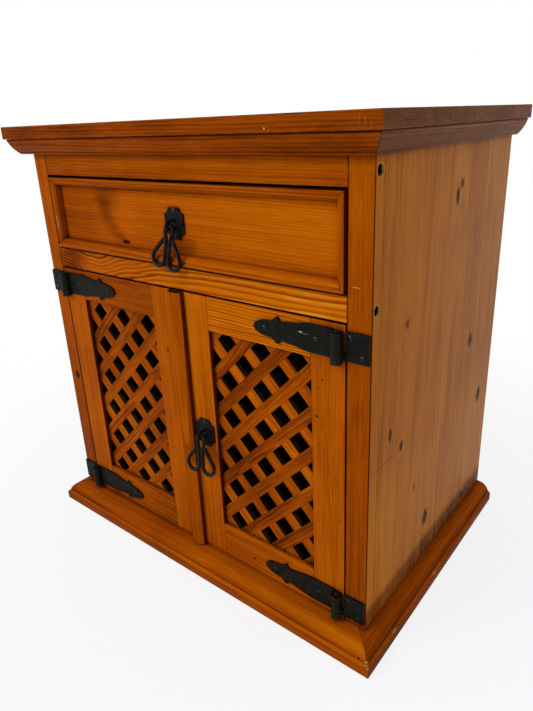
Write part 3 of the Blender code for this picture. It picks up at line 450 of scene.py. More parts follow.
def forged_iron(name, dark, light, gloss, roughness):
    """Blackened iron: hammered, a little rusty, and rubbed brighter along its edges."""
    f = Finish(name)
    place = f.place()
    edge_rubbing_and_shade = f.attribute("edge_rubbing_and_shade", "Fac")
    rusty = f.split(f.attribute("cast"))[0]
    cloud = f.noise(place, 60.0, 3.0)
    grit = f.noise(place, 900.0, 2.0)
    dents = f.add("ShaderNodeTexVoronoi", {"Vector": place, "Scale": 190.0}, feature="SMOOTH_F1").outputs[0]
    colour = f.blend(f.rise(cloud, 0.3, 0.7), (*dark, 1), (*light, 1))
    rust = f.times(f.rise(f.noise(place, 140.0, 3.0), 0.48, 0.68), f.plus(rusty, 0.12))
    colour = f.blend(rust, colour, (0.030, 0.0135, 0.0055, 1))
    rubbed = f.times(edge_rubbing_and_shade, f.rise(f.noise(place, 120.0), 0.38, 0.62))
    colour = f.blend(f.times(rubbed, 0.55), colour, (0.060, 0.056, 0.048, 1))
    for centre, size, strength in IRON_SCRATCHES:
        distance = f.plus(spot_distance(f, place, centre, size), f.sway(cloud, 0.6))
        colour = f.blend(f.times(f.fall(distance, 0.6, 1.1), strength), colour, (0.400, 0.390, 0.370, 1))
    rough = f.plus(roughness, f.sway(cloud, 0.12), f.times(rubbed, -0.12), f.times(rust, 0.15))
    x, y, z = f.split(place)
    aside = f.join(f.plus(f.sum("ABSOLUTE", x), -HINGE_X), f.plus(y, -HINGE_Y), 0.0)
    barrel = f.fall(f.vector("LENGTH", aside)["Value"], 0.0080, 0.0095)
    reach = [f.sum("ABSOLUTE", f.plus(z, -height - KNUCKLE_RISE)) for height in HINGE_HEIGHTS]
    reach = f.sum("MINIMUM", *reach)
    joint = f.times(f.rise(reach, KNUCKLE_HALF - 0.0010, KNUCKLE_HALF), f.fall(reach, KNUCKLE_HALF, 0.0142))
    turned = f.times(barrel, f.fall(reach, KNUCKLE_HALF - 0.0016, KNUCKLE_HALF - 0.0008))
    wound = f.times(f.sum("SINE", f.times(z, BARREL_LINES)), turned)
    colour = f.blend(f.times(barrel, 0.45), colour, (0.0200, 0.0170, 0.0100, 1))
    grooves = f.sum("MAXIMUM", f.rise(wound, 0.2, 0.9), f.times(joint, barrel))
    colour = f.blend(grooves, colour, (0.0022, 0.0020, 0.0014, 1))
    height = f.plus(f.times(dents, 0.9), f.times(grit, 0.35), f.times(cloud, 0.5), f.times(wound, 0.22))
    bump = f.add("ShaderNodeBump", {"Strength": 0.45, "Distance": 0.0009, "Height": height})
    inputs = {"Base Color": colour, "Roughness": rough, "Normal": bump.outputs[0]}
    inputs["Specular IOR Level"] = gloss
    return f.finish(inputs)


def screw_steel():
    """Dulled screw heads, brown in places."""
    f = Finish("dull_screw_steel")
    place = f.place()
    cloud = f.noise(place, 420.0, 3.0)
    colour = f.blend(f.rise(cloud, 0.35, 0.7), (0.034, 0.033, 0.029, 1), (0.010, 0.009, 0.007, 1))
    rough = f.plus(0.30, f.sway(cloud, 0.12))
    return f.finish({"Base Color": colour, "Roughness": rough, "Metallic": 0.85})


def lay_grain(mesh, axes, start, size=1.0):
    """Keeps where each point lies across, into and along the grain, from a place in the tree."""
    layer = mesh.attributes.new("grain", "FLOAT_VECTOR", "POINT")
    places = []
    for vertex in mesh.vertices:
        spot = [axis.dot(vertex.co) * size + shift for axis, shift in zip(axes, start)]
        places.extend(spot)
    layer.data.foreach_set("vector", places)


def keep_cast(mesh, cast):
    """Keeps a piece's own tone, boldness of grain and painted grey reflection on all its points."""
    layer = mesh.attributes.new("cast", "FLOAT_VECTOR", "POINT")
    layer.data.foreach_set("vector", list(cast) * len(mesh.vertices))


def keep_end_grain(mesh, along):
    """Marks the faces that were cut across the grain."""
    layer = mesh.attributes.new("cut", "FLOAT", "FACE")
    layer.data.foreach_set("value", [float(abs(face.normal.dot(along)) > END_GRAIN_SHARE) for face in mesh.polygons])


def shade_smooth(piece):
    """Smooth shading that keeps flats flat and true corners sharp."""
    piece.data.polygons.foreach_set("use_smooth", [True] * len(piece.data.polygons))
    piece.data.set_sharp_from_angle(angle=SMOOTH)
    even = piece.modifiers.new("even_shading", "WEIGHTED_NORMAL")
    even.keep_sharp = True


def add_piece(name, mesh, material, body):
    piece = bpy.data.objects.new(name, mesh)
    bpy.context.scene.collection.objects.link(piece)
    mesh.materials.clear()
    mesh.materials.append(material)
    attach(piece, body)
    return piece


def mesh_of(bm, name):
    mesh = bpy.data.meshes.new(name)
    bm.to_mesh(mesh)
    bm.free()
    return mesh


def is_mitre(face, upright):
    """Whether a face was sawn at half a right angle round the axis of that letter."""
    level = [abs(share) for letter, share in zip("xyz", face.normal) if letter != upright]
    return min(level) > MITRE_SHARE


def eased_copy(node, easing, wear, mitre, shortest):
    """A copy of a node with its triangles joined into whole faces and its outer corners eased."""
    bm = bmesh.new()
    bm.from_mesh(frame["nodes"][node].data)
    bmesh.ops.remove_doubles(bm, verts=bm.verts, dist=WELD)
    bmesh.ops.dissolve_limit(bm, angle_limit=FLAT, verts=bm.verts, edges=bm.edges)
    bmesh.ops.dissolve_degenerate(bm, dist=SLIVER, edges=bm.edges)
    corners = [e for e in bm.edges if e.is_manifold and e.is_convex and e.calc_face_angle(0) > SHARP]
    corners = [e for e in corners if e.calc_length() > shortest]
    if mitre:
        corners = [e for e in corners if not any(is_mitre(face, mitre) for face in e.link_faces)]
    layer = bm.faces.layers.float.new("edge_rubbing_and_shade")
    made = bmesh.ops.bevel(
        bm,
        geom=corners,
        offset=easing,
        segments=EASING_STEPS,
        profile=0.5,
        affect="EDGES",
        clamp_overlap=True,
        material=-1,
    )
    # The eased faces keep the value given: rubbing when positive, painted shade along them when negative
    for face in made["faces"]:
        face[layer] = wear
    return mesh_of(bm, "finished_" + node)


def dress(node, material, slot, easing, wear=1.0, mitre=None, shortest=0.0):
    """Puts the eased copy of a node in the node's place."""
    mesh = eased_copy(node, easing, wear, mitre, shortest)
    piece = add_piece("finished_" + node, mesh, material, frame["nodes"][node]["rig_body"])
    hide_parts(node)
    shade_smooth(piece)
    return piece


AXIS = {"x": Vector((1, 0, 0)), "y": Vector((0, 1, 0)), "z": Vector((0, 0, 1))}


def dress_board(node, material, order, easing=0.0007, cast=(0, 0.5, 0), **more):
    """A board: order names the axes across its face, into it and along its grain."""
    luck = random.Random(node)
    chosen = (luck.uniform(-0.03, 0.03), luck.uniform(0.03, 0.09), luck.uniform(0, 40))
    start = more.get("start", chosen)
    choices = {key: more[key] for key in ("mitre", "shortest") if key in more}
    piece = dress(node, material, more.get("slot", "pine"), easing, more.get("wear", 0.6), **choices)
    axes = [AXIS[letter] for letter in order]
    lay_grain(piece.data, axes, start, more.get("size", 1.0))
    keep_cast(piece.data, cast)
    keep_end_grain(piece.data, axes[2])
    return piece


def finish_faces(piece, material, *directions, share=END_GRAIN_SHARE):
    """Gives the faces that look certain ways their own finish."""
    piece.data.materials.append(material)
    last = len(piece.data.materials) - 1
    for face in piece.data.polygons:
        if any(face.normal.dot(direction) > share for direction in directions):
            face.material_index = last


def stain_and_shade_corner(piece, direction):
    """Darkens the eased corners that look one way: a stained line on outer corners, painted shade on corners beside
    gaps.
    """
    edge = piece.data.attributes["edge_rubbing_and_shade"].data
    for face in piece.data.polygons:
        if edge[face.index].value and face.normal.dot(direction) > CORNER_SHARE:
            edge[face.index].value = -1.0


def shade_bore_walls(piece, material):
    """Paints the walls of the deep screw bores in a stile near black, as painted shade."""
    piece.data.materials.append(material)
    last = len(piece.data.materials) - 1
    for face in piece.data.polygons:
        if abs(face.normal.x) > BORE_SHARE:
            continue
        for centre, radius in BORE_RIMS:
            away = face.center - centre
            if away.yz.length < radius + BORE_EASE and abs(away.x) < BORE_DEPTH:
                face.material_index = last


def fade_tone(piece, letter, low_tone, high_tone, part=0):
    """Lets a part of a piece's cast change along an axis, from its low end to its high end."""
    places = [AXIS[letter].dot(vertex.co) for vertex in piece.data.vertices]
    low, high = min(places), max(places)
    for point, place in zip(piece.data.attributes["cast"].data, places):
        share = (place - low) / (high - low)
        point.vector[part] = low_tone + (high_tone - low_tone) * share


def dress_iron(node, material, easing, rust=0.0):
    piece = dress(node, material, "iron", easing)
    keep_cast(piece.data, (rust, 0, 0))
    return piece


def cut_slat(place, thickness, low, high):
    """A rounded slat, trimmed to the box of the lattice with its ends closed."""
    slat = bmesh.new()
    reach = (high - low).length
    bmesh.ops.create_cube(slat, size=1.0, matrix=Matrix.Diagonal((reach, thickness, SLAT_WIDTH, 1)))
    edges = [e for e in slat.edges if abs((e.verts[0].co - e.verts[1].co).x) > reach / 2]
    bmesh.ops.bevel(
        slat,
        geom=edges,
        offset=SLAT_EDGE,
        segments=3,
        profile=0.5,
        affect="EDGES",
        material=-1,
    )
    bmesh.ops.transform(slat, matrix=place, verts=slat.verts)
    for corner, axis, side in ((low, "x", -1), (low, "z", -1), (high, "x", 1), (high, "z", 1)):
        cut = bmesh.ops.bisect_plane(
            slat,
            geom=list(slat.verts) + list(slat.edges) + list(slat.faces),
            plane_co=corner,
            plane_no=AXIS[axis] * side,
            clear_outer=True,
        )
        rim = [part for part in cut["geom_cut"] if isinstance(part, bmesh.types.BMEdge)]
        if rim:
            bmesh.ops.contextual_create(slat, geom=rim)
    return mesh_of(slat, "slat")


def add_lattice(side, material, flank_shade_material):
    """Crossed slats halved into each other in a door, each slat with its own wood."""
    node = side + "_door_lattice"
    low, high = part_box(node)
    luck = random.Random(node)
    middle = (low + high) / 2
    count = math.ceil((high.x - low.x + high.z - low.z) / 2 / math.sqrt(2) / SLAT_PITCH)
    rising_shift, falling_shift = LATTICE_SHIFTS[side]
    lower_tone, upper_tone = LATTICE_HEIGHT_SHADES[side]
    lapped = SLAT_THICKNESS - 2 * SLAT_LAP_STEP
    for way, sign, offset, thickness in (
        ("rising", 1, rising_shift, SLAT_THICKNESS),
        ("falling", -1, falling_shift, lapped),
    ):
        turn = Matrix.Rotation(-sign * math.pi / 4, 4, "Y")
        centre = Vector((middle.x, middle.y, middle.z))
        across = turn.to_3x3() @ AXIS["z"]
        along = turn.to_3x3() @ AXIS["x"]
        whole = bmesh.new()
        grain = whole.verts.layers.float_vector.new("grain")
        casts = whole.verts.layers.float_vector.new("cast")
        for index in range(-count, count + 1):
            line = index * SLAT_PITCH + offset
            place = Matrix.Translation(centre) @ turn @ Matrix.Translation((0, 0, line))
            mesh = cut_slat(place, thickness, low, high)
            start = Vector((luck.uniform(-0.02, 0.02), luck.uniform(0.01, 0.06), luck.uniform(0, 30)))
            tone = luck.uniform(*SLAT_TONES[way]) + SLAT_STAINS.get((side, way, index), 0.0)
            bold = luck.uniform(0.25, 0.65)
            first = len(whole.verts)
            whole.from_mesh(mesh)
            whole.verts.ensure_lookup_table()
            # Painted shade: the slats darker towards the bottom of the lattice
            for vertex in whole.verts[first:]:
                share = (vertex.co.z - low.z) / (high.z - low.z)
                shade_by_height = lower_tone + (upper_tone - lower_tone) * share
                place = vertex.co - centre
                place = Vector((place.dot(across) - line, place.y, place.dot(along)))
                vertex[grain] = place + start
                vertex[casts] = Vector((tone + shade_by_height, bold, 0))
            bpy.data.meshes.remove(mesh)
        name = f"{side}_door_{way}_slats"
        piece = add_piece(name, mesh_of(whole, name), material, side + "_door")
        piece.data.materials.append(flank_shade_material)
        # Painted shade on the slats' side walls
        for face in piece.data.polygons:
            face.material_index = int(abs(face.normal.y) < FLANK_SHARE)
        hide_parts(node)
        shade_smooth(piece)


def arc(centre, radius, start, end, steps):
    points = []
    for step in range(steps + 1):
        angle = math.radians(start + (end - start) * step / steps)
        points.append((centre[0] + radius * math.cos(angle), centre[1] + radius * math.sin(angle)))
    return points


def loop_path(turn):
    """The pull's wire in its own plane, from one tucked end over the top to the other, hanging askew."""
    half = arc((0, -LOOP_TOP_RADIUS), LOOP_TOP_RADIUS, 90, 0, BEND_STEPS)
    for step in range(1, BEND_STEPS + 1):
        share = step / BEND_STEPS
        ease = share * share * (3 - 2 * share)
        x = LOOP_TOP_RADIUS + (LOOP_LEG_HALF - LOOP_TOP_RADIUS) * ease
        half.append((x, -LOOP_TOP_RADIUS - (LOOP_WAIST_DROP - LOOP_TOP_RADIUS) * share))
    centre = Vector((LOOP_LEG_HALF + LOOP_RADIUS, LOOP_RADIUS - LOOP_DROP))
    tuck = Vector((LOOP_LEG_HALF + 2 * WIRE_RADIUS + LOOP_TUCK_GAP, -LOOP_TUCK_DROP))
    away = tuck - centre
    leave = math.degrees(math.atan2(away.y, away.x) - math.acos(LOOP_RADIUS / away.length))
    half += arc(centre, LOOP_RADIUS, 180, 360 + leave, 3 * BEND_STEPS)
    last = Vector(half[-1])
    for step in range(1, BEND_STEPS):
        half.append(tuple(last.lerp(tuck, step / (BEND_STEPS - 1))))
    for x, rise in LOOP_END:
        half.append((tuck.x + x, tuck.y + rise))
    hub = Vector((0, -LOOP_TOP_RADIUS))
    askew = Matrix.Rotation(-turn, 2)
    points = [(-x, z) for x, z in reversed(half[1:])] + half
    return [askew @ (Vector(point) - hub) + hub for point in points]


def wire_mesh(name, points, radius, taper):
    """A round wire along a line of points, a little uneven from the hammer, with closed ends."""
    luck = random.Random(name)
    curve = bpy.data.curves.new(name, "CURVE")
    curve.dimensions = "3D"
    curve.bevel_depth = radius
    curve.bevel_resolution = 4
    curve.use_fill_caps = True
    line = curve.splines.new("POLY")
    line.points.add(len(points) - 1)
    for index, (point, place) in enumerate(zip(line.points, points)):
        point.co = (*place, 1)
        from_end = min(index, len(points) - 1 - index)
        point.radius = luck.uniform(0.955, 1.0) * (1 - taper * max(0.0, 1 - from_end / 4))
    bent = bpy.data.objects.new(name, curve)
    bpy.context.scene.collection.objects.link(bent)
    bpy.context.view_layer.update()
    shape = bent.evaluated_get(bpy.context.evaluated_depsgraph_get())
    mesh = bpy.data.meshes.new_from_object(shape)
    bpy.data.objects.remove(bent)
    return mesh


def add_pull(name, carrier, pivot, material):
    """The staple through the plate and the wire loop that swings in it."""
    lean = Matrix.Rotation(-LOOP_LEAN, 3, "X")
    loop = [pivot + lean @ Vector((x, 0, z)) for x, z in loop_path(LOOP_TURNS[name])]
    bend = arc((0, 0), STAPLE_BOW, 90, 270, 2 * BEND_STEPS)
    side = [(STAPLE_ROOT, STAPLE_BOW)] + bend + [(STAPLE_ROOT, -STAPLE_BOW)]
    staple = [pivot + Vector((0, y, z)) for y, z in side]
    for part, path, radius, body in (
        ("loop", loop, WIRE_RADIUS, name),
        ("staple", staple, STAPLE_RADIUS, carrier),
    ):
        mesh = wire_mesh(f"bent_{name}_{part}", path, radius, 0.25 if part == "loop" else 0.0)
        piece = add_piece(f"bent_{name}_{part}", mesh, material, body)
        keep_cast(mesh, (0.25, 0, 0))
        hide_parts(f"{name}_{part}")
        shade_smooth(piece)


def screw_head():
    """A domed head with a cross recess, facing forwards, at the origin."""
    bm = bmesh.new()
    cells = 7
    bmesh.ops.create_grid(bm, x_segments=cells, y_segments=cells, size=SCREW_RADIUS)
    pitch = 2 * SCREW_RADIUS / cells
    cross = []
    for face in bm.faces:
        spot = face.calc_center_median()
        near, far = sorted((abs(spot.x), abs(spot.y)))
        if near < pitch / 2 and far < 2.5 * pitch:
            cross.append(face)
    for vertex in bm.verts:
        reach = max(abs(vertex.co.x), abs(vertex.co.y))
        if vertex.co.length:
            share = reach / SCREW_RADIUS
            vertex.co = vertex.co.lerp(vertex.co.normalized() * reach, share ** 2)
    for vertex in bm.verts:
        vertex.co.z = SCREW_DOME * (1 - (vertex.co.xy.length / SCREW_RADIUS) ** 2)
    sunk = bmesh.ops.extrude_face_region(bm, geom=cross)
    floor = [part for part in sunk["geom"] if isinstance(part, bmesh.types.BMVert)]
    bmesh.ops.delete(bm, geom=cross, context="FACES")
    bmesh.ops.translate(bm, verts=floor, vec=(0, 0, -SCREW_RECESS))
    rim = [edge for edge in bm.edges if edge.is_boundary]
    skirt = bmesh.ops.extrude_edge_only(bm, edges=rim)
    lower = [part for part in skirt["geom"] if isinstance(part, bmesh.types.BMVert)]
    bmesh.ops.translate(bm, verts=lower, vec=(0, 0, -0.0006))
    rim = [edge for edge in bm.edges if edge.is_boundary]
    bmesh.ops.contextual_create(bm, geom=rim)
    bmesh.ops.recalc_face_normals(bm, faces=bm.faces)
    bmesh.ops.rotate(bm, cent=(0, 0, 0), matrix=Matrix.Rotation(math.pi / 2, 3, "X"), verts=bm.verts)
    return mesh_of(bm, "screw_head")


def add_screws(name, body, spots, head, material):
    """Copies of the screw head at their places, each turned as the driver left it."""
    luck = random.Random(name)
    bm = bmesh.new()
    for spot in spots:
        first = len(bm.verts)
        bm.from_mesh(head)
        bm.verts.ensure_lookup_table()
        turn = Matrix.Rotation(luck.uniform(0, math.pi / 2), 4, "Y")
        bmesh.ops.transform(bm, matrix=Matrix.Translation(spot) @ turn, verts=bm.verts[first:])
    piece = add_piece(name, mesh_of(bm, name), material, body)
    shade_smooth(piece)


# Knots: middle, half-sizes, how far they push the rings, how black they are and how dark the wood round them is
def side_knot(y, z, wide, tall, pull=0.010, strength=0.9, x=SIDE_X):
    return (Vector((x, y, z)), (0.010, 1.05 * wide, 1.15 * tall), pull, strength, -0.20 * strength)


def face_knot(x, z, wide, tall, pull=0.008, strength=0.9, shade=0.09, y=FACE_Y):
    return (Vector((x, y, z)), (wide, 0.010, tall), pull, strength, shade)


SIDE_KNOTS = (
    side_knot(0.028, 0.567, 0.0050, 0.0085, 0.013),
    side_knot(0.040, 0.581, 0.0045, 0.0050, 0.006, 0.75),
    side_knot(-0.103, 0.435, 0.0045, 0.0050, 0.010, 0.55),
    side_knot(0.118, 0.343, 0.0060, 0.0075, 0.010, 0.85),
    side_knot(-0.137, 0.302, 0.0032, 0.0070, 0.007, 0.95),
    side_knot(-0.105, 0.271, 0.0040, 0.0055, 0.007, 0.95),
    side_knot(0.179, 0.227, 0.0075, 0.0105, 0.013, 0.85),
    side_knot(-0.013, 0.103, 0.0070, 0.0100, 0.012, 0.90),
    side_knot(0.143, 0.050, 0.0060, 0.0050, 0.008, 0.65),
    side_knot(-0.058, 0.181, 0.0025, 0.0030, 0.004, 0.60),
    side_knot(-0.020, 0.490, 0.0065, 0.0090, 0.012, 0.85, -SIDE_X),
    side_knot(0.120, 0.560, 0.0050, 0.0070, 0.010, 0.90, -SIDE_X),
    side_knot(0.060, 0.300, 0.0055, 0.0080, 0.010, 0.80, -SIDE_X),
    side_knot(-0.110, 0.220, 0.0045, 0.0050, 0.008, 0.90, -SIDE_X),
    side_knot(0.140, 0.120, 0.0070, 0.0090, 0.012, 0.85, -SIDE_X),
)
FRONT_KNOTS = (
    face_knot(-0.031, 0.359, 0.0022, 0.0036, 0.004, 0.30),
    face_knot(-0.281, 0.257, 0.0035, 0.0045, 0.005, 0.85),
    face_knot(-0.185, 0.4725, 0.0290, 0.0300, -0.016, 0.0, 0.0),
    face_knot(-0.105, 0.4725, 0.0300, 0.0300, -0.008, 0.0, 0.0),
    face_knot(0.283, 0.348, 0.0040, 0.0110, 0.002, 0.0, 0.12),
    face_knot(-0.242, 0.4700, 0.0210, 0.0140, 0.0, 0.0, 0.32),
)
DRAWER_KNOTS = (
    face_knot(-0.108, 0.508, 0.0062, 0.0022, 0.006, 1.0, 0.04, PANEL_FACE_Y),
    face_knot(-0.146, 0.571, 0.0150, 0.0100, 0.006, 0.0, 0.22, PANEL_FACE_Y),
    face_knot(-0.151, 0.552, 0.0085, 0.0090, 0.005, 0.0, 0.13, PANEL_FACE_Y),
    face_knot(-0.143, 0.536, 0.0070, 0.0080, 0.005, 0.0, 0.12, PANEL_FACE_Y),
    face_knot(-0.131, 0.524, 0.0065, 0.0060, 0.005, 0.0, 0.13, PANEL_FACE_Y),
    face_knot(-0.119, 0.515, 0.0065, 0.0050, 0.005, 0.0, 0.13, PANEL_FACE_Y),
    face_knot(-0.120, 0.585, 0.0060, 0.0035, 0.006, 0.0, 0.08, PANEL_FACE_Y),
    face_knot(-0.101, 0.541, 0.0160, 0.0150, 0.004, 0.0, -0.10, PANEL_FACE_Y),
    face_knot(-0.225, 0.535, 0.0330, 0.0330, 0.002, 0.0, 0.10, PANEL_FACE_Y),
    # Painted shadow of the drawer pull on the panel, right of and below it
    face_knot(0.026, 0.514, 0.0060, 0.0070, 0.0, 0.0, 0.20, PANEL_FACE_Y),
    face_knot(0.215, 0.560, 0.0330, 0.0130, 0.0, 0.0, -0.10, PANEL_FACE_Y),
)
DRAWER_NICKS = ((Vector((-0.2605, -0.188, 0.526)), (0.0030, 0.010, 0.0150), 0.16),)
FRONT_HOLES = tuple(
    (Vector((x, FACE_Y, z)), (half, 0.004, half))
    for x, z, half in (
        (0.236, 0.379, 0.0014),
        (0.231, 0.367, 0.0009),
        (0.228, 0.329, 0.0018),
        (0.245, 0.338, 0.0009),
        (0.231, 0.290, 0.0008),
        (0.114, 0.056, 0.0022),
    )
)
FRONT_NICKS = ((Vector((0.280, FACE_Y, 0.497)), (0.0050, 0.004, 0.0006), 0.45),)
SLAB_NICKS = (
    (Vector((0.191, SLAB_FACE_Y, 0.6577)), (0.0014, 0.004, 0.0010), 0.6),
    (Vector((0.196, SLAB_FACE_Y, 0.6562)), (0.0010, 0.004, 0.0008), 0.5),
    (Vector((0.300, SLAB_FACE_Y, 0.6625)), (0.0006, 0.004, 0.0055), 0.08),
    (Vector((0.306, SLAB_FACE_Y, 0.6610)), (0.0006, 0.004, 0.0050), 0.12),
    (Vector((0.312, SLAB_FACE_Y, 0.6600)), (0.0007, 0.004, 0.0045), 0.10),
)
BASE_NICKS = (
    (Vector((0.3195, -0.2185, 0.0205)), (0.0030, 0.0030, 0.0014), 0.7),
    (Vector((0.3245, -0.2235, 0.0160)), (0.0030, 0.0030, 0.0012), 0.6),
    (Vector((0.3220, -0.2205, 0.0182)), (0.0026, 0.0026, 0.0010), 0.6),
    (Vector((0.3240, -0.1500, 0.0160)), (0.0030, 0.0060, 0.0008), 0.5),
    (Vector((0.3240, -0.0200, 0.0160)), (0.0030, 0.0080, 0.0008), 0.4),
)
BASE_HOLES = ((Vector((0.308, -0.2175, 0.0205)), (0.0016, 0.006, 0.0016)),)
SIDE_HOLES = ((Vector((SIDE_X, -0.150, 0.268)), (0.004, 0.034, 0.0004)),)
FRONT_BANDS = ((0.6270, 0.0150, 0.10),)
# Height bands on the sides: the lowest is painted shade near the base, the others change the tone
SIDE_BANDS = ((0.0420, 0.0320, -0.42), (0.1600, 0.1200, 0.08), (0.3500, 0.0800, -0.03), (0.5400, 0.1200, 0.04))
# Painted light and shade along the crown: a shadow line under the slab, a dark groove line and a highlight on the lip
CROWN_LIGHT_AND_SHADE_BANDS = ((0.6522, 0.0013, -0.22), (0.6336, 0.0010, -0.18), (0.6322, 0.0010, 0.10))
# Painted light and shade along the base: a dark line in the quirk, a lit ledge, a highlight on the nosing's edge and
# one on the ovolo's shoulder
BASE_LIGHT_AND_SHADE_BANDS = ((0.0194, 0.0012, -0.24), (0.0172, 0.0016, 0.12), (0.0156, 0.0010, 0.14), (0.0320, 0.0110, 0.16))
IRON_SCRATCHES = (
    (Vector((0.2085, IRON_FACE_Y, 0.4348)), (0.0026, 0.004, 0.0008), 0.9),
    (Vector((0.2150, IRON_FACE_Y, 0.4335)), (0.0060, 0.004, 0.0006), 0.2),
)

BORE_RIMS = []
for side in ("left", "right"):
    for level in ("top", "middle"):
        low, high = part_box(f"frame_screw_{side}_{level}")
        sign = 1 if side == "right" else -1
        BORE_RIMS.append((Vector((sign * SIDE_X, (low.y + high.y) / 2, (low.z + high.z) / 2)), BORE_RADIUS))

varnish = {"Roughness": 0.40, "Specular IOR Level": 0.010, "Specular Tint": (1.0, 0.55, 0.15, 1)}
oiled = {"Roughness": 0.45, "Specular IOR Level": 0.025}
front_marks = {"knots": FRONT_KNOTS, "holes_and_shadows": FRONT_HOLES, "nicks": FRONT_NICKS, "bands": FRONT_BANDS}
rail_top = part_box("middle_rail")[1].z
# A painted shadow line on the middle rail just under the drawer's moulding
drawer_shade = (Vector((0.0, FACE_Y, rail_top - 0.0012)), (0.8, 0.004, 0.0010))
rail_marks = {"knots": FRONT_KNOTS, "holes_and_shadows": (drawer_shade,)}
side_marks = {"knots": SIDE_KNOTS, "holes_and_shadows": SIDE_HOLES, "rims": BORE_RIMS, "bands": SIDE_BANDS}
drawer_marks = {"knots": DRAWER_KNOTS, "nicks": DRAWER_NICKS}
base_marks = {"holes_and_shadows": BASE_HOLES, "nicks": BASE_NICKS, "bands": BASE_LIGHT_AND_SHADE_BANDS}
front_pine = pine("front_pine", VARNISHED, front_marks, **varnish)
rail_pine = pine("rail_pine", VARNISHED, rail_marks, **varnish)
drawer_pine = pine("drawer_pine", VARNISHED, drawer_marks, fibres=0.8, streaks=0.7, **varnish)
crown_pine = pine("crown_pine", VARNISHED, {"bands": CROWN_LIGHT_AND_SHADE_BANDS}, **varnish)
base_pine = pine("base_pine", VARNISHED, base_marks, crease_shade=0.25, **varnish)
lattice_pine = pine("lattice_pine", VARNISHED, ring=0.0020, fibres=1.4, streaks=1.6, **varnish)
top_pine = pine("top_pine", VARNISHED, {"nicks": SLAB_NICKS}, stave=0.072, **varnish)
# Painted shade and grey reflection on the slab's ends and the crown sides, over darker end grain on the slab
top_end = pine("top_end", SHADE_AND_SHEEN_TONES, stave=0.072, ring=0.0026, base=1.12, **oiled)
crown_side_shade_pine = pine("crown_side_shade_pine", SHADE_AND_SHEEN_TONES, {"bands": CROWN_LIGHT_AND_SHADE_BANDS}, fibres=1.3, streaks=2.2, **oiled)
side_look = {"stave": 0.066, "fibres": 1.0, "streaks": 1.1, "base": 0.66, **oiled}
side_pine = pine("side_pine", SIDE_TONES, side_marks, **side_look)
stile_side = pine("stile_side", SIDE_TONES, side_marks, even=True, **side_look)
strip_pine = pine("strip_pine", VARNISHED, Roughness=0.40, **{"Specular IOR Level": 0.0})
# Painted shade for faces in gaps and under rails, and for the astragal's dark edges
gap_shade = pine("gap_shade", GAP_SHADE_TONES, Roughness=0.60, **{"Specular IOR Level": 0.0})
# Painted shade for flanks beside gaps: the drawer moulding's outer flanks, the door stiles' edges and the astragal's
# right face
flank_shade = pine("flank_shade", GAP_SHADE_TONES, crease_shade=0.15, **varnish)
slat_flank_shade = pine("slat_flank_shade", SLAT_FLANK_SHADE_TONES, streaks=1.6, crease_shade=0.15, Roughness=0.60, **{"Specular IOR Level": 0.0})
raw_pine = pine("raw_pine", RAW_TONES, Roughness=0.72, **{"Specular IOR Level": 0.3})
stained_ply = pine("stained_ply", PLY_TONES, ring=0.009, Roughness=0.75, **{"Specular IOR Level": 0.2})
# Painted shade for the faces inside the cabinet
interior_shade = pine("interior_shade", INTERIOR_SHADE_TONES, Roughness=0.70, **{"Specular IOR Level": 0.1})
# Painted shade: near-black bore walls, with bare wood round each bore's mouth
bore_shade = pine("bore_shade", INTERIOR_SHADE_TONES, {"rims": BORE_RIMS}, Roughness=0.70, **{"Specular IOR Level": 0.0})
iron = forged_iron("forged_iron", (0.0018, 0.0021, 0.0014), (0.0050, 0.0055, 0.0040), 0.07, 0.52)
wire_iron = forged_iron("wire_iron", (0.0022, 0.0018, 0.0010), (0.0125, 0.0095, 0.0052), 0.09, 0.36)
steel = screw_steel()

# Top, crown, carcass and base
slab = dress_board("top_board", top_pine, "yzx", 0.0015, (-0.26, 0.35, 0), start=(0.0, 0.0, 3.0), wear=0.2)
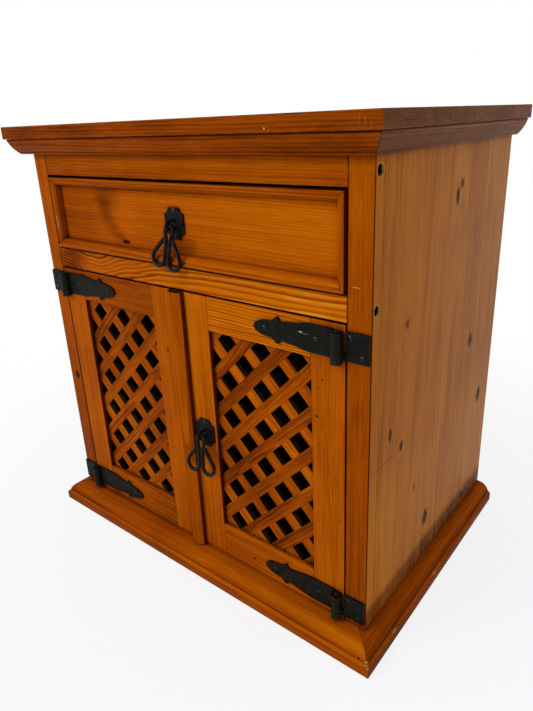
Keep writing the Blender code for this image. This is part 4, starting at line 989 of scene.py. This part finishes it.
# The slab's ends: darker end grain with painted shade and a painted grey reflection
finish_faces(slab, top_end, AXIS["x"], -AXIS["x"])
fade_tone(slab, "x", -0.28, -0.22)
dress_board("crown_front", crown_pine, "zyx", 0.0004, (-0.24, 0.45, 0), wear=0.2, mitre="z")
for side in ("left", "right"):
    sign = 1 if side == "right" else -1
    outwards = sign * AXIS["x"]
    strip = dress_board(f"crown_{side}", crown_side_shade_pine, "zxy", 0.0004, (0.02, 0.5, 0), wear=0.2, mitre="z")
    # Painted glare: the crown sides lighter towards the back
    fade_tone(strip, "y", 0.00, 0.18)
    panel = dress_board(
        f"side_panel_{side}", side_pine, "yxz", 0.0006, (0, 0.35, 0), start=(0.0, 0.0, 5.0 * sign)
    )
    # Painted shade on the side panel's inside face
    finish_faces(panel, interior_shade, -outwards)
    fade_tone(panel, "y", 0.03, -0.09)
    # Painted grey reflection on the sides, stronger towards the back
    fade_tone(panel, "y", 0.0, 0.10, PAINTED_SHEEN_GREYNESS)
    stile = dress_board(f"face_stile_{side}", front_pine, "xyz", 0.0010, (-0.04, 0.15, 0), shortest=LONG_CORNER)
    finish_faces(stile, stile_side, outwards, share=STEEP_SHARE)
    # Painted shade on the bore walls
    shade_bore_walls(stile, bore_shade)
    # Painted shade on the stile's inner face beside the opening
    finish_faces(stile, gap_shade, -outwards)
    # Darkened front corners: a stained line on the outer corner, painted shade on the inner corner beside the opening
    stain_and_shade_corner(stile, (outwards - AXIS["y"]).normalized())
    stain_and_shade_corner(stile, (-outwards - AXIS["y"]).normalized())
    fade_tone(stile, "z", -0.25, -0.04)
    strip = dress_board(f"base_{side}", base_pine, "zxy", 0.0005, (-0.26, 0.3, 0), wear=0.8, mitre="z")
    fade_tone(strip, "y", -0.36, -0.22)
    dress_board(f"drawer_runner_{side}", raw_pine, "zxy", 0.0006, slot="raw_pine")
    dress_board(f"drawer_side_{side}", raw_pine, "zxy", 0.0008, slot="raw_pine")
rail = dress_board("top_rail", front_pine, "zyx", 0.0006, (-0.12, 0.25, 0), shortest=LONG_CORNER)
# Painted shade under the top rail
finish_faces(rail, gap_shade, -AXIS["z"])
fade_tone(rail, "x", -0.18, -0.09)
rail = dress_board(
    "middle_rail", rail_pine, "zyx", 0.0006, (0.16, 1.2, 0), start=(-0.470, 0.012, 1.0), size=0.8
)
# Painted shade on the middle rail's top and bottom faces, in the gaps under the drawer and above the doors
finish_faces(rail, gap_shade, AXIS["z"], -AXIS["z"])
fade_tone(rail, "x", 0.04, 0.28)
strip = dress_board("base_front", base_pine, "zyx", 0.0005, (-0.15, 0.25, 0), wear=0.8, mitre="z")
fade_tone(strip, "x", -0.27, -0.12)
panel = dress_board("bottom_panel", raw_pine, "yzx", 0.0006, slot="raw_pine")
# Painted shade: the bottom panel's top near black inside the cabinet, its front edge dark in the gap
finish_faces(panel, interior_shade, AXIS["z"])
finish_faces(panel, gap_shade, -AXIS["y"])
strip = dress_board("door_stop", raw_pine, "zyx", 0.0008, slot="raw_pine")
# Painted shade on the door stop's front and bottom faces
finish_faces(strip, gap_shade, -AXIS["y"], -AXIS["z"])
panel = dress_board("back_panel", stained_ply, "xyz", 0.0004, slot="plywood")
# Painted shade on the back panel's inside face
finish_faces(panel, interior_shade, -AXIS["y"])

# Drawer
panel = dress_board("drawer_front", drawer_pine, "zyx", 0.0006, (0.02, 0.28, 0))
fade_tone(panel, "x", -0.07, 0.05)
for edge, order, outwards, tone in (
    ("top", "zyx", AXIS["z"], -0.08),
    ("bottom", "zyx", -AXIS["z"], 0.08),
    ("left", "xyz", -AXIS["x"], 0.05),
    ("right", "xyz", AXIS["x"], -0.04),
):
    strip = dress_board(f"drawer_moulding_{edge}", drawer_pine, order, 0.0003, (tone, 0.5, 0), wear=1.0, mitre="y")
    # Painted shade on the moulding's outer flank
    finish_faces(strip, flank_shade, outwards)
    if edge == "bottom":
        fade_tone(strip, "x", -0.08, 0.10)
dress_board("drawer_back", raw_pine, "zyx", 0.0008, slot="raw_pine")
dress_board("drawer_bottom", stained_ply, "xzy", 0.0004, slot="plywood")

# Doors
for side in ("left", "right"):
    outwards = AXIS["x"] if side == "right" else -AXIS["x"]
    stile = dress_board(f"{side}_door_hinge_stile", front_pine, "xyz", 0.0007, (-0.03, 0.2, 0), wear=DOOR_WEAR)
    # Painted shade on the stiles' edges in the gaps and beside the lattice openings, and on the hinge stile's front
    # corner beside the gap
    finish_faces(stile, gap_shade, outwards, AXIS["z"], -AXIS["z"])
    finish_faces(stile, flank_shade, -outwards)
    stain_and_shade_corner(stile, (outwards - AXIS["y"]).normalized())
    fade_tone(stile, "z", *((0.02, -0.07) if side == "right" else (-0.08, -0.03)))
    stile = dress_board(f"{side}_door_lock_stile", front_pine, "xyz", 0.0007, (0.05, 0.2, 0), wear=DOOR_WEAR)
    finish_faces(stile, gap_shade, -outwards, AXIS["z"], -AXIS["z"])
    finish_faces(stile, flank_shade, outwards)
    fade_tone(stile, "z", *((-0.12, 0.12) if side == "right" else (-0.02, -0.05)))
    tone, bold = (0.22, 1.0) if side == "right" else (-0.19, 0.25)
    rail = dress_board(f"{side}_door_top_rail", front_pine, "zyx", 0.0007, (tone, bold, 0), wear=DOOR_WEAR)
    # Painted shade on the top rail's top face, in the gap
    finish_faces(rail, gap_shade, AXIS["z"])
    rail = dress_board(f"{side}_door_bottom_rail", front_pine, "zyx", 0.0007, (0.0, 0.35, 0), wear=DOOR_WEAR)
    fade_tone(rail, "x", *((-0.11, 0.04) if side == "right" else (-0.14, -0.20)))
    # Painted shade on the bottom rail's bottom face, in the gap
    finish_faces(rail, gap_shade, -AXIS["z"])
    add_lattice(side, lattice_pine, slat_flank_shade)
# Painted shade: the negative value darkens the astragal's eased edges as a shadow line, and its top, left slope and
# right face are dark in the gaps
strip = dress_board("astragal", strip_pine, "xyz", 0.0004, (0.0, 0.5, 0), wear=-0.5)
finish_faces(strip, flank_shade, AXIS["x"], share=STEEP_SHARE)
finish_faces(strip, gap_shade, AXIS["z"], share=STEEP_SHARE)
finish_faces(strip, gap_shade, -AXIS["x"], share=SLOPE_SHARE)

# Ironwork
for level in ("upper", "lower"):
    for side in ("left", "right"):
        rust = 0.10 if level == "upper" else 0.35
        for part in ("leaf", "pin", "strap"):
            dress_iron(f"{level}_{side}_hinge_{part}", iron, IRON_EASING, rust)
for name, carrier, pivot in (
    ("drawer_pull", "drawer", DRAWER_PULL_PIVOT),
    ("door_pull", "right_door", DOOR_PULL_PIVOT),
):
    dress_iron(name + "_plate", iron, IRON_EASING)
    add_pull(name, carrier, pivot, wire_iron)

# Screws
for level in ("top", "middle"):
    for side in ("left", "right"):
        dress(f"frame_screw_{side}_{level}", steel, "screw_steel", 0.0003)
head = screw_head()
leaf_spots = []
for height in HINGE_HEIGHTS:
    for x, rise in LEAF_SCREWS:
        for sign in (-1, 1):
            leaf_spots.append(Vector((sign * x, IRON_FACE_Y, height + rise)))
add_screws("leaf_screws", "carcass", leaf_spots, head, steel)
for side, sign in (("left", -1), ("right", 1)):
    spots = []
    for height in HINGE_HEIGHTS:
        for reach in STRAP_SCREWS:
            spots.append(Vector((sign * (HINGE_X - reach), IRON_FACE_Y, height)))
    add_screws(f"{side}_strap_screws", side + "_door", spots, head, steel)
for name, carrier, pivot, face_y in (
    ("drawer_plate_screws", "drawer", DRAWER_PULL_PIVOT, DRAWER_PLATE_FACE_Y),
    ("door_plate_screws", "right_door", DOOR_PULL_PIVOT, DOOR_PLATE_FACE_Y),
):
    spots = []
    for rise in (PLATE_SCREW_SPREAD, -PLATE_SCREW_SPREAD):
        spots.append(Vector((pivot.x, face_y, pivot.z + PLATE_ABOVE_PIVOT + rise)))
    add_screws(name, carrier, spots, head, steel)
bpy.data.meshes.remove(head)


def add_camera():
    """The camera where the photograph was taken from."""
    lens = bpy.data.cameras.new("photo_camera")
    longest = max(PHOTO_WIDTH, PHOTO_HEIGHT)
    lens.sensor_width = SENSOR_WIDTH
    lens.lens = CAMERA_FOCAL_PIXELS * SENSOR_WIDTH / longest
    lens.shift_x = -CAMERA_AXIS_PIXELS[0] / longest
    lens.shift_y = CAMERA_AXIS_PIXELS[1] / longest
    level = math.cos(CAMERA_ELEVATION)
    back = Vector(
        (
            math.sin(CAMERA_AZIMUTH) * level,
            -math.cos(CAMERA_AZIMUTH) * level,
            math.sin(CAMERA_ELEVATION),
        )
    )
    right = AXIS["z"].cross(back).normalized()
    up = back.cross(right)
    turned_right = right * math.cos(CAMERA_ROLL) + up * math.sin(CAMERA_ROLL)
    turned_up = up * math.cos(CAMERA_ROLL) - right * math.sin(CAMERA_ROLL)
    camera = bpy.data.objects.new("photo_camera", lens)
    camera.matrix_world = Matrix.Translation(CAMERA_PLACE) @ Matrix(
        (turned_right, turned_up, back)
    ).transposed().to_4x4()
    bpy.context.scene.collection.objects.link(camera)
    bpy.context.scene.camera = camera


def add_lamp(name, place, aim, size, watts):
    lamp = bpy.data.lights.new(name, "AREA")
    lamp.shape = "DISK"
    lamp.size = size
    lamp.energy = watts
    stand = bpy.data.objects.new(name, lamp)
    stand.location = place
    stand.rotation_euler = (Vector(aim) - Vector(place)).to_track_quat("-Z", "Y").to_euler()
    bpy.context.scene.collection.objects.link(stand)


def add_surround():
    """An even grey light all round, which shows as white in the picture and in reflections."""
    world = bpy.data.worlds.new("studio_surround")
    bpy.context.scene.world = world
    world.use_nodes = True
    tree = world.node_tree
    tree.nodes.clear()
    path = tree.nodes.new("ShaderNodeLightPath")
    seen = path.outputs["Is Camera Ray"]
    for kind in ("Is Glossy Ray", "Is Transmission Ray"):
        either = tree.nodes.new("ShaderNodeMath")
        either.operation = "MAXIMUM"
        tree.links.new(seen, either.inputs[0])
        tree.links.new(path.outputs[kind], either.inputs[1])
        seen = either.outputs[0]
    strength = tree.nodes.new("ShaderNodeMapRange")
    tree.links.new(seen, strength.inputs["Value"])
    strength.inputs["To Min"].default_value = SURROUND_LIGHT
    background = tree.nodes.new("ShaderNodeBackground")
    background.inputs["Color"].default_value = (1, 1, 1, 1)
    tree.links.new(strength.outputs[0], background.inputs["Strength"])
    output = tree.nodes.new("ShaderNodeOutputWorld")
    tree.links.new(background.outputs[0], output.inputs["Surface"])


def add_floor():
    """A pale round floor that keeps the shadow near the cabinet and fades to white further off."""
    bm = bmesh.new()
    bmesh.ops.create_circle(bm, cap_ends=True, segments=96, radius=FLOOR_RADIUS)
    bmesh.ops.translate(bm, verts=bm.verts, vec=(0, 0, -FLOOR_DROP))
    floor = bpy.data.objects.new("floor", mesh_of(bm, "floor"))
    bpy.context.scene.collection.objects.link(floor)
    floor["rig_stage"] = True
    f = Finish("pale_floor")
    path = f.add("ShaderNodeLightPath").outputs
    seen = f.sum("MAXIMUM", path["Is Camera Ray"], path["Is Glossy Ray"])
    seen = f.sum("MAXIMUM", seen, path["Is Transmission Ray"])
    distance = f.vector("LENGTH", f.place())["Value"]
    share = f.times(seen, f.sum("MULTIPLY_ADD", f.rise(distance, 0.30, 1.20), 0.18, 0.82))
    paint = f.add("ShaderNodeBsdfDiffuse", {"Color": (0.86, 0.86, 0.86, 1)})
    glow = f.add("ShaderNodeEmission", {"Color": (1, 1, 1, 1), "Strength": 1.0})
    mixed = f.add("ShaderNodeMixShader", {0: share, 1: paint.outputs[0], 2: glow.outputs[0]})
    f.add("ShaderNodeOutputMaterial", {"Surface": mixed.outputs[0]})
    floor.data.materials.append(f.material)


# Studio
SURROUND_LIGHT = 0.62
FLOOR_RADIUS = 14.0
FLOOR_DROP = 0.0003
bpy.context.scene.view_settings.view_transform = "Standard"
add_camera()
add_surround()
add_floor()
add_lamp("soft_key", (-1.1, -2.2, 1.9), (0, 0, 0.35), 1.6, 36)

low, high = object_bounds()
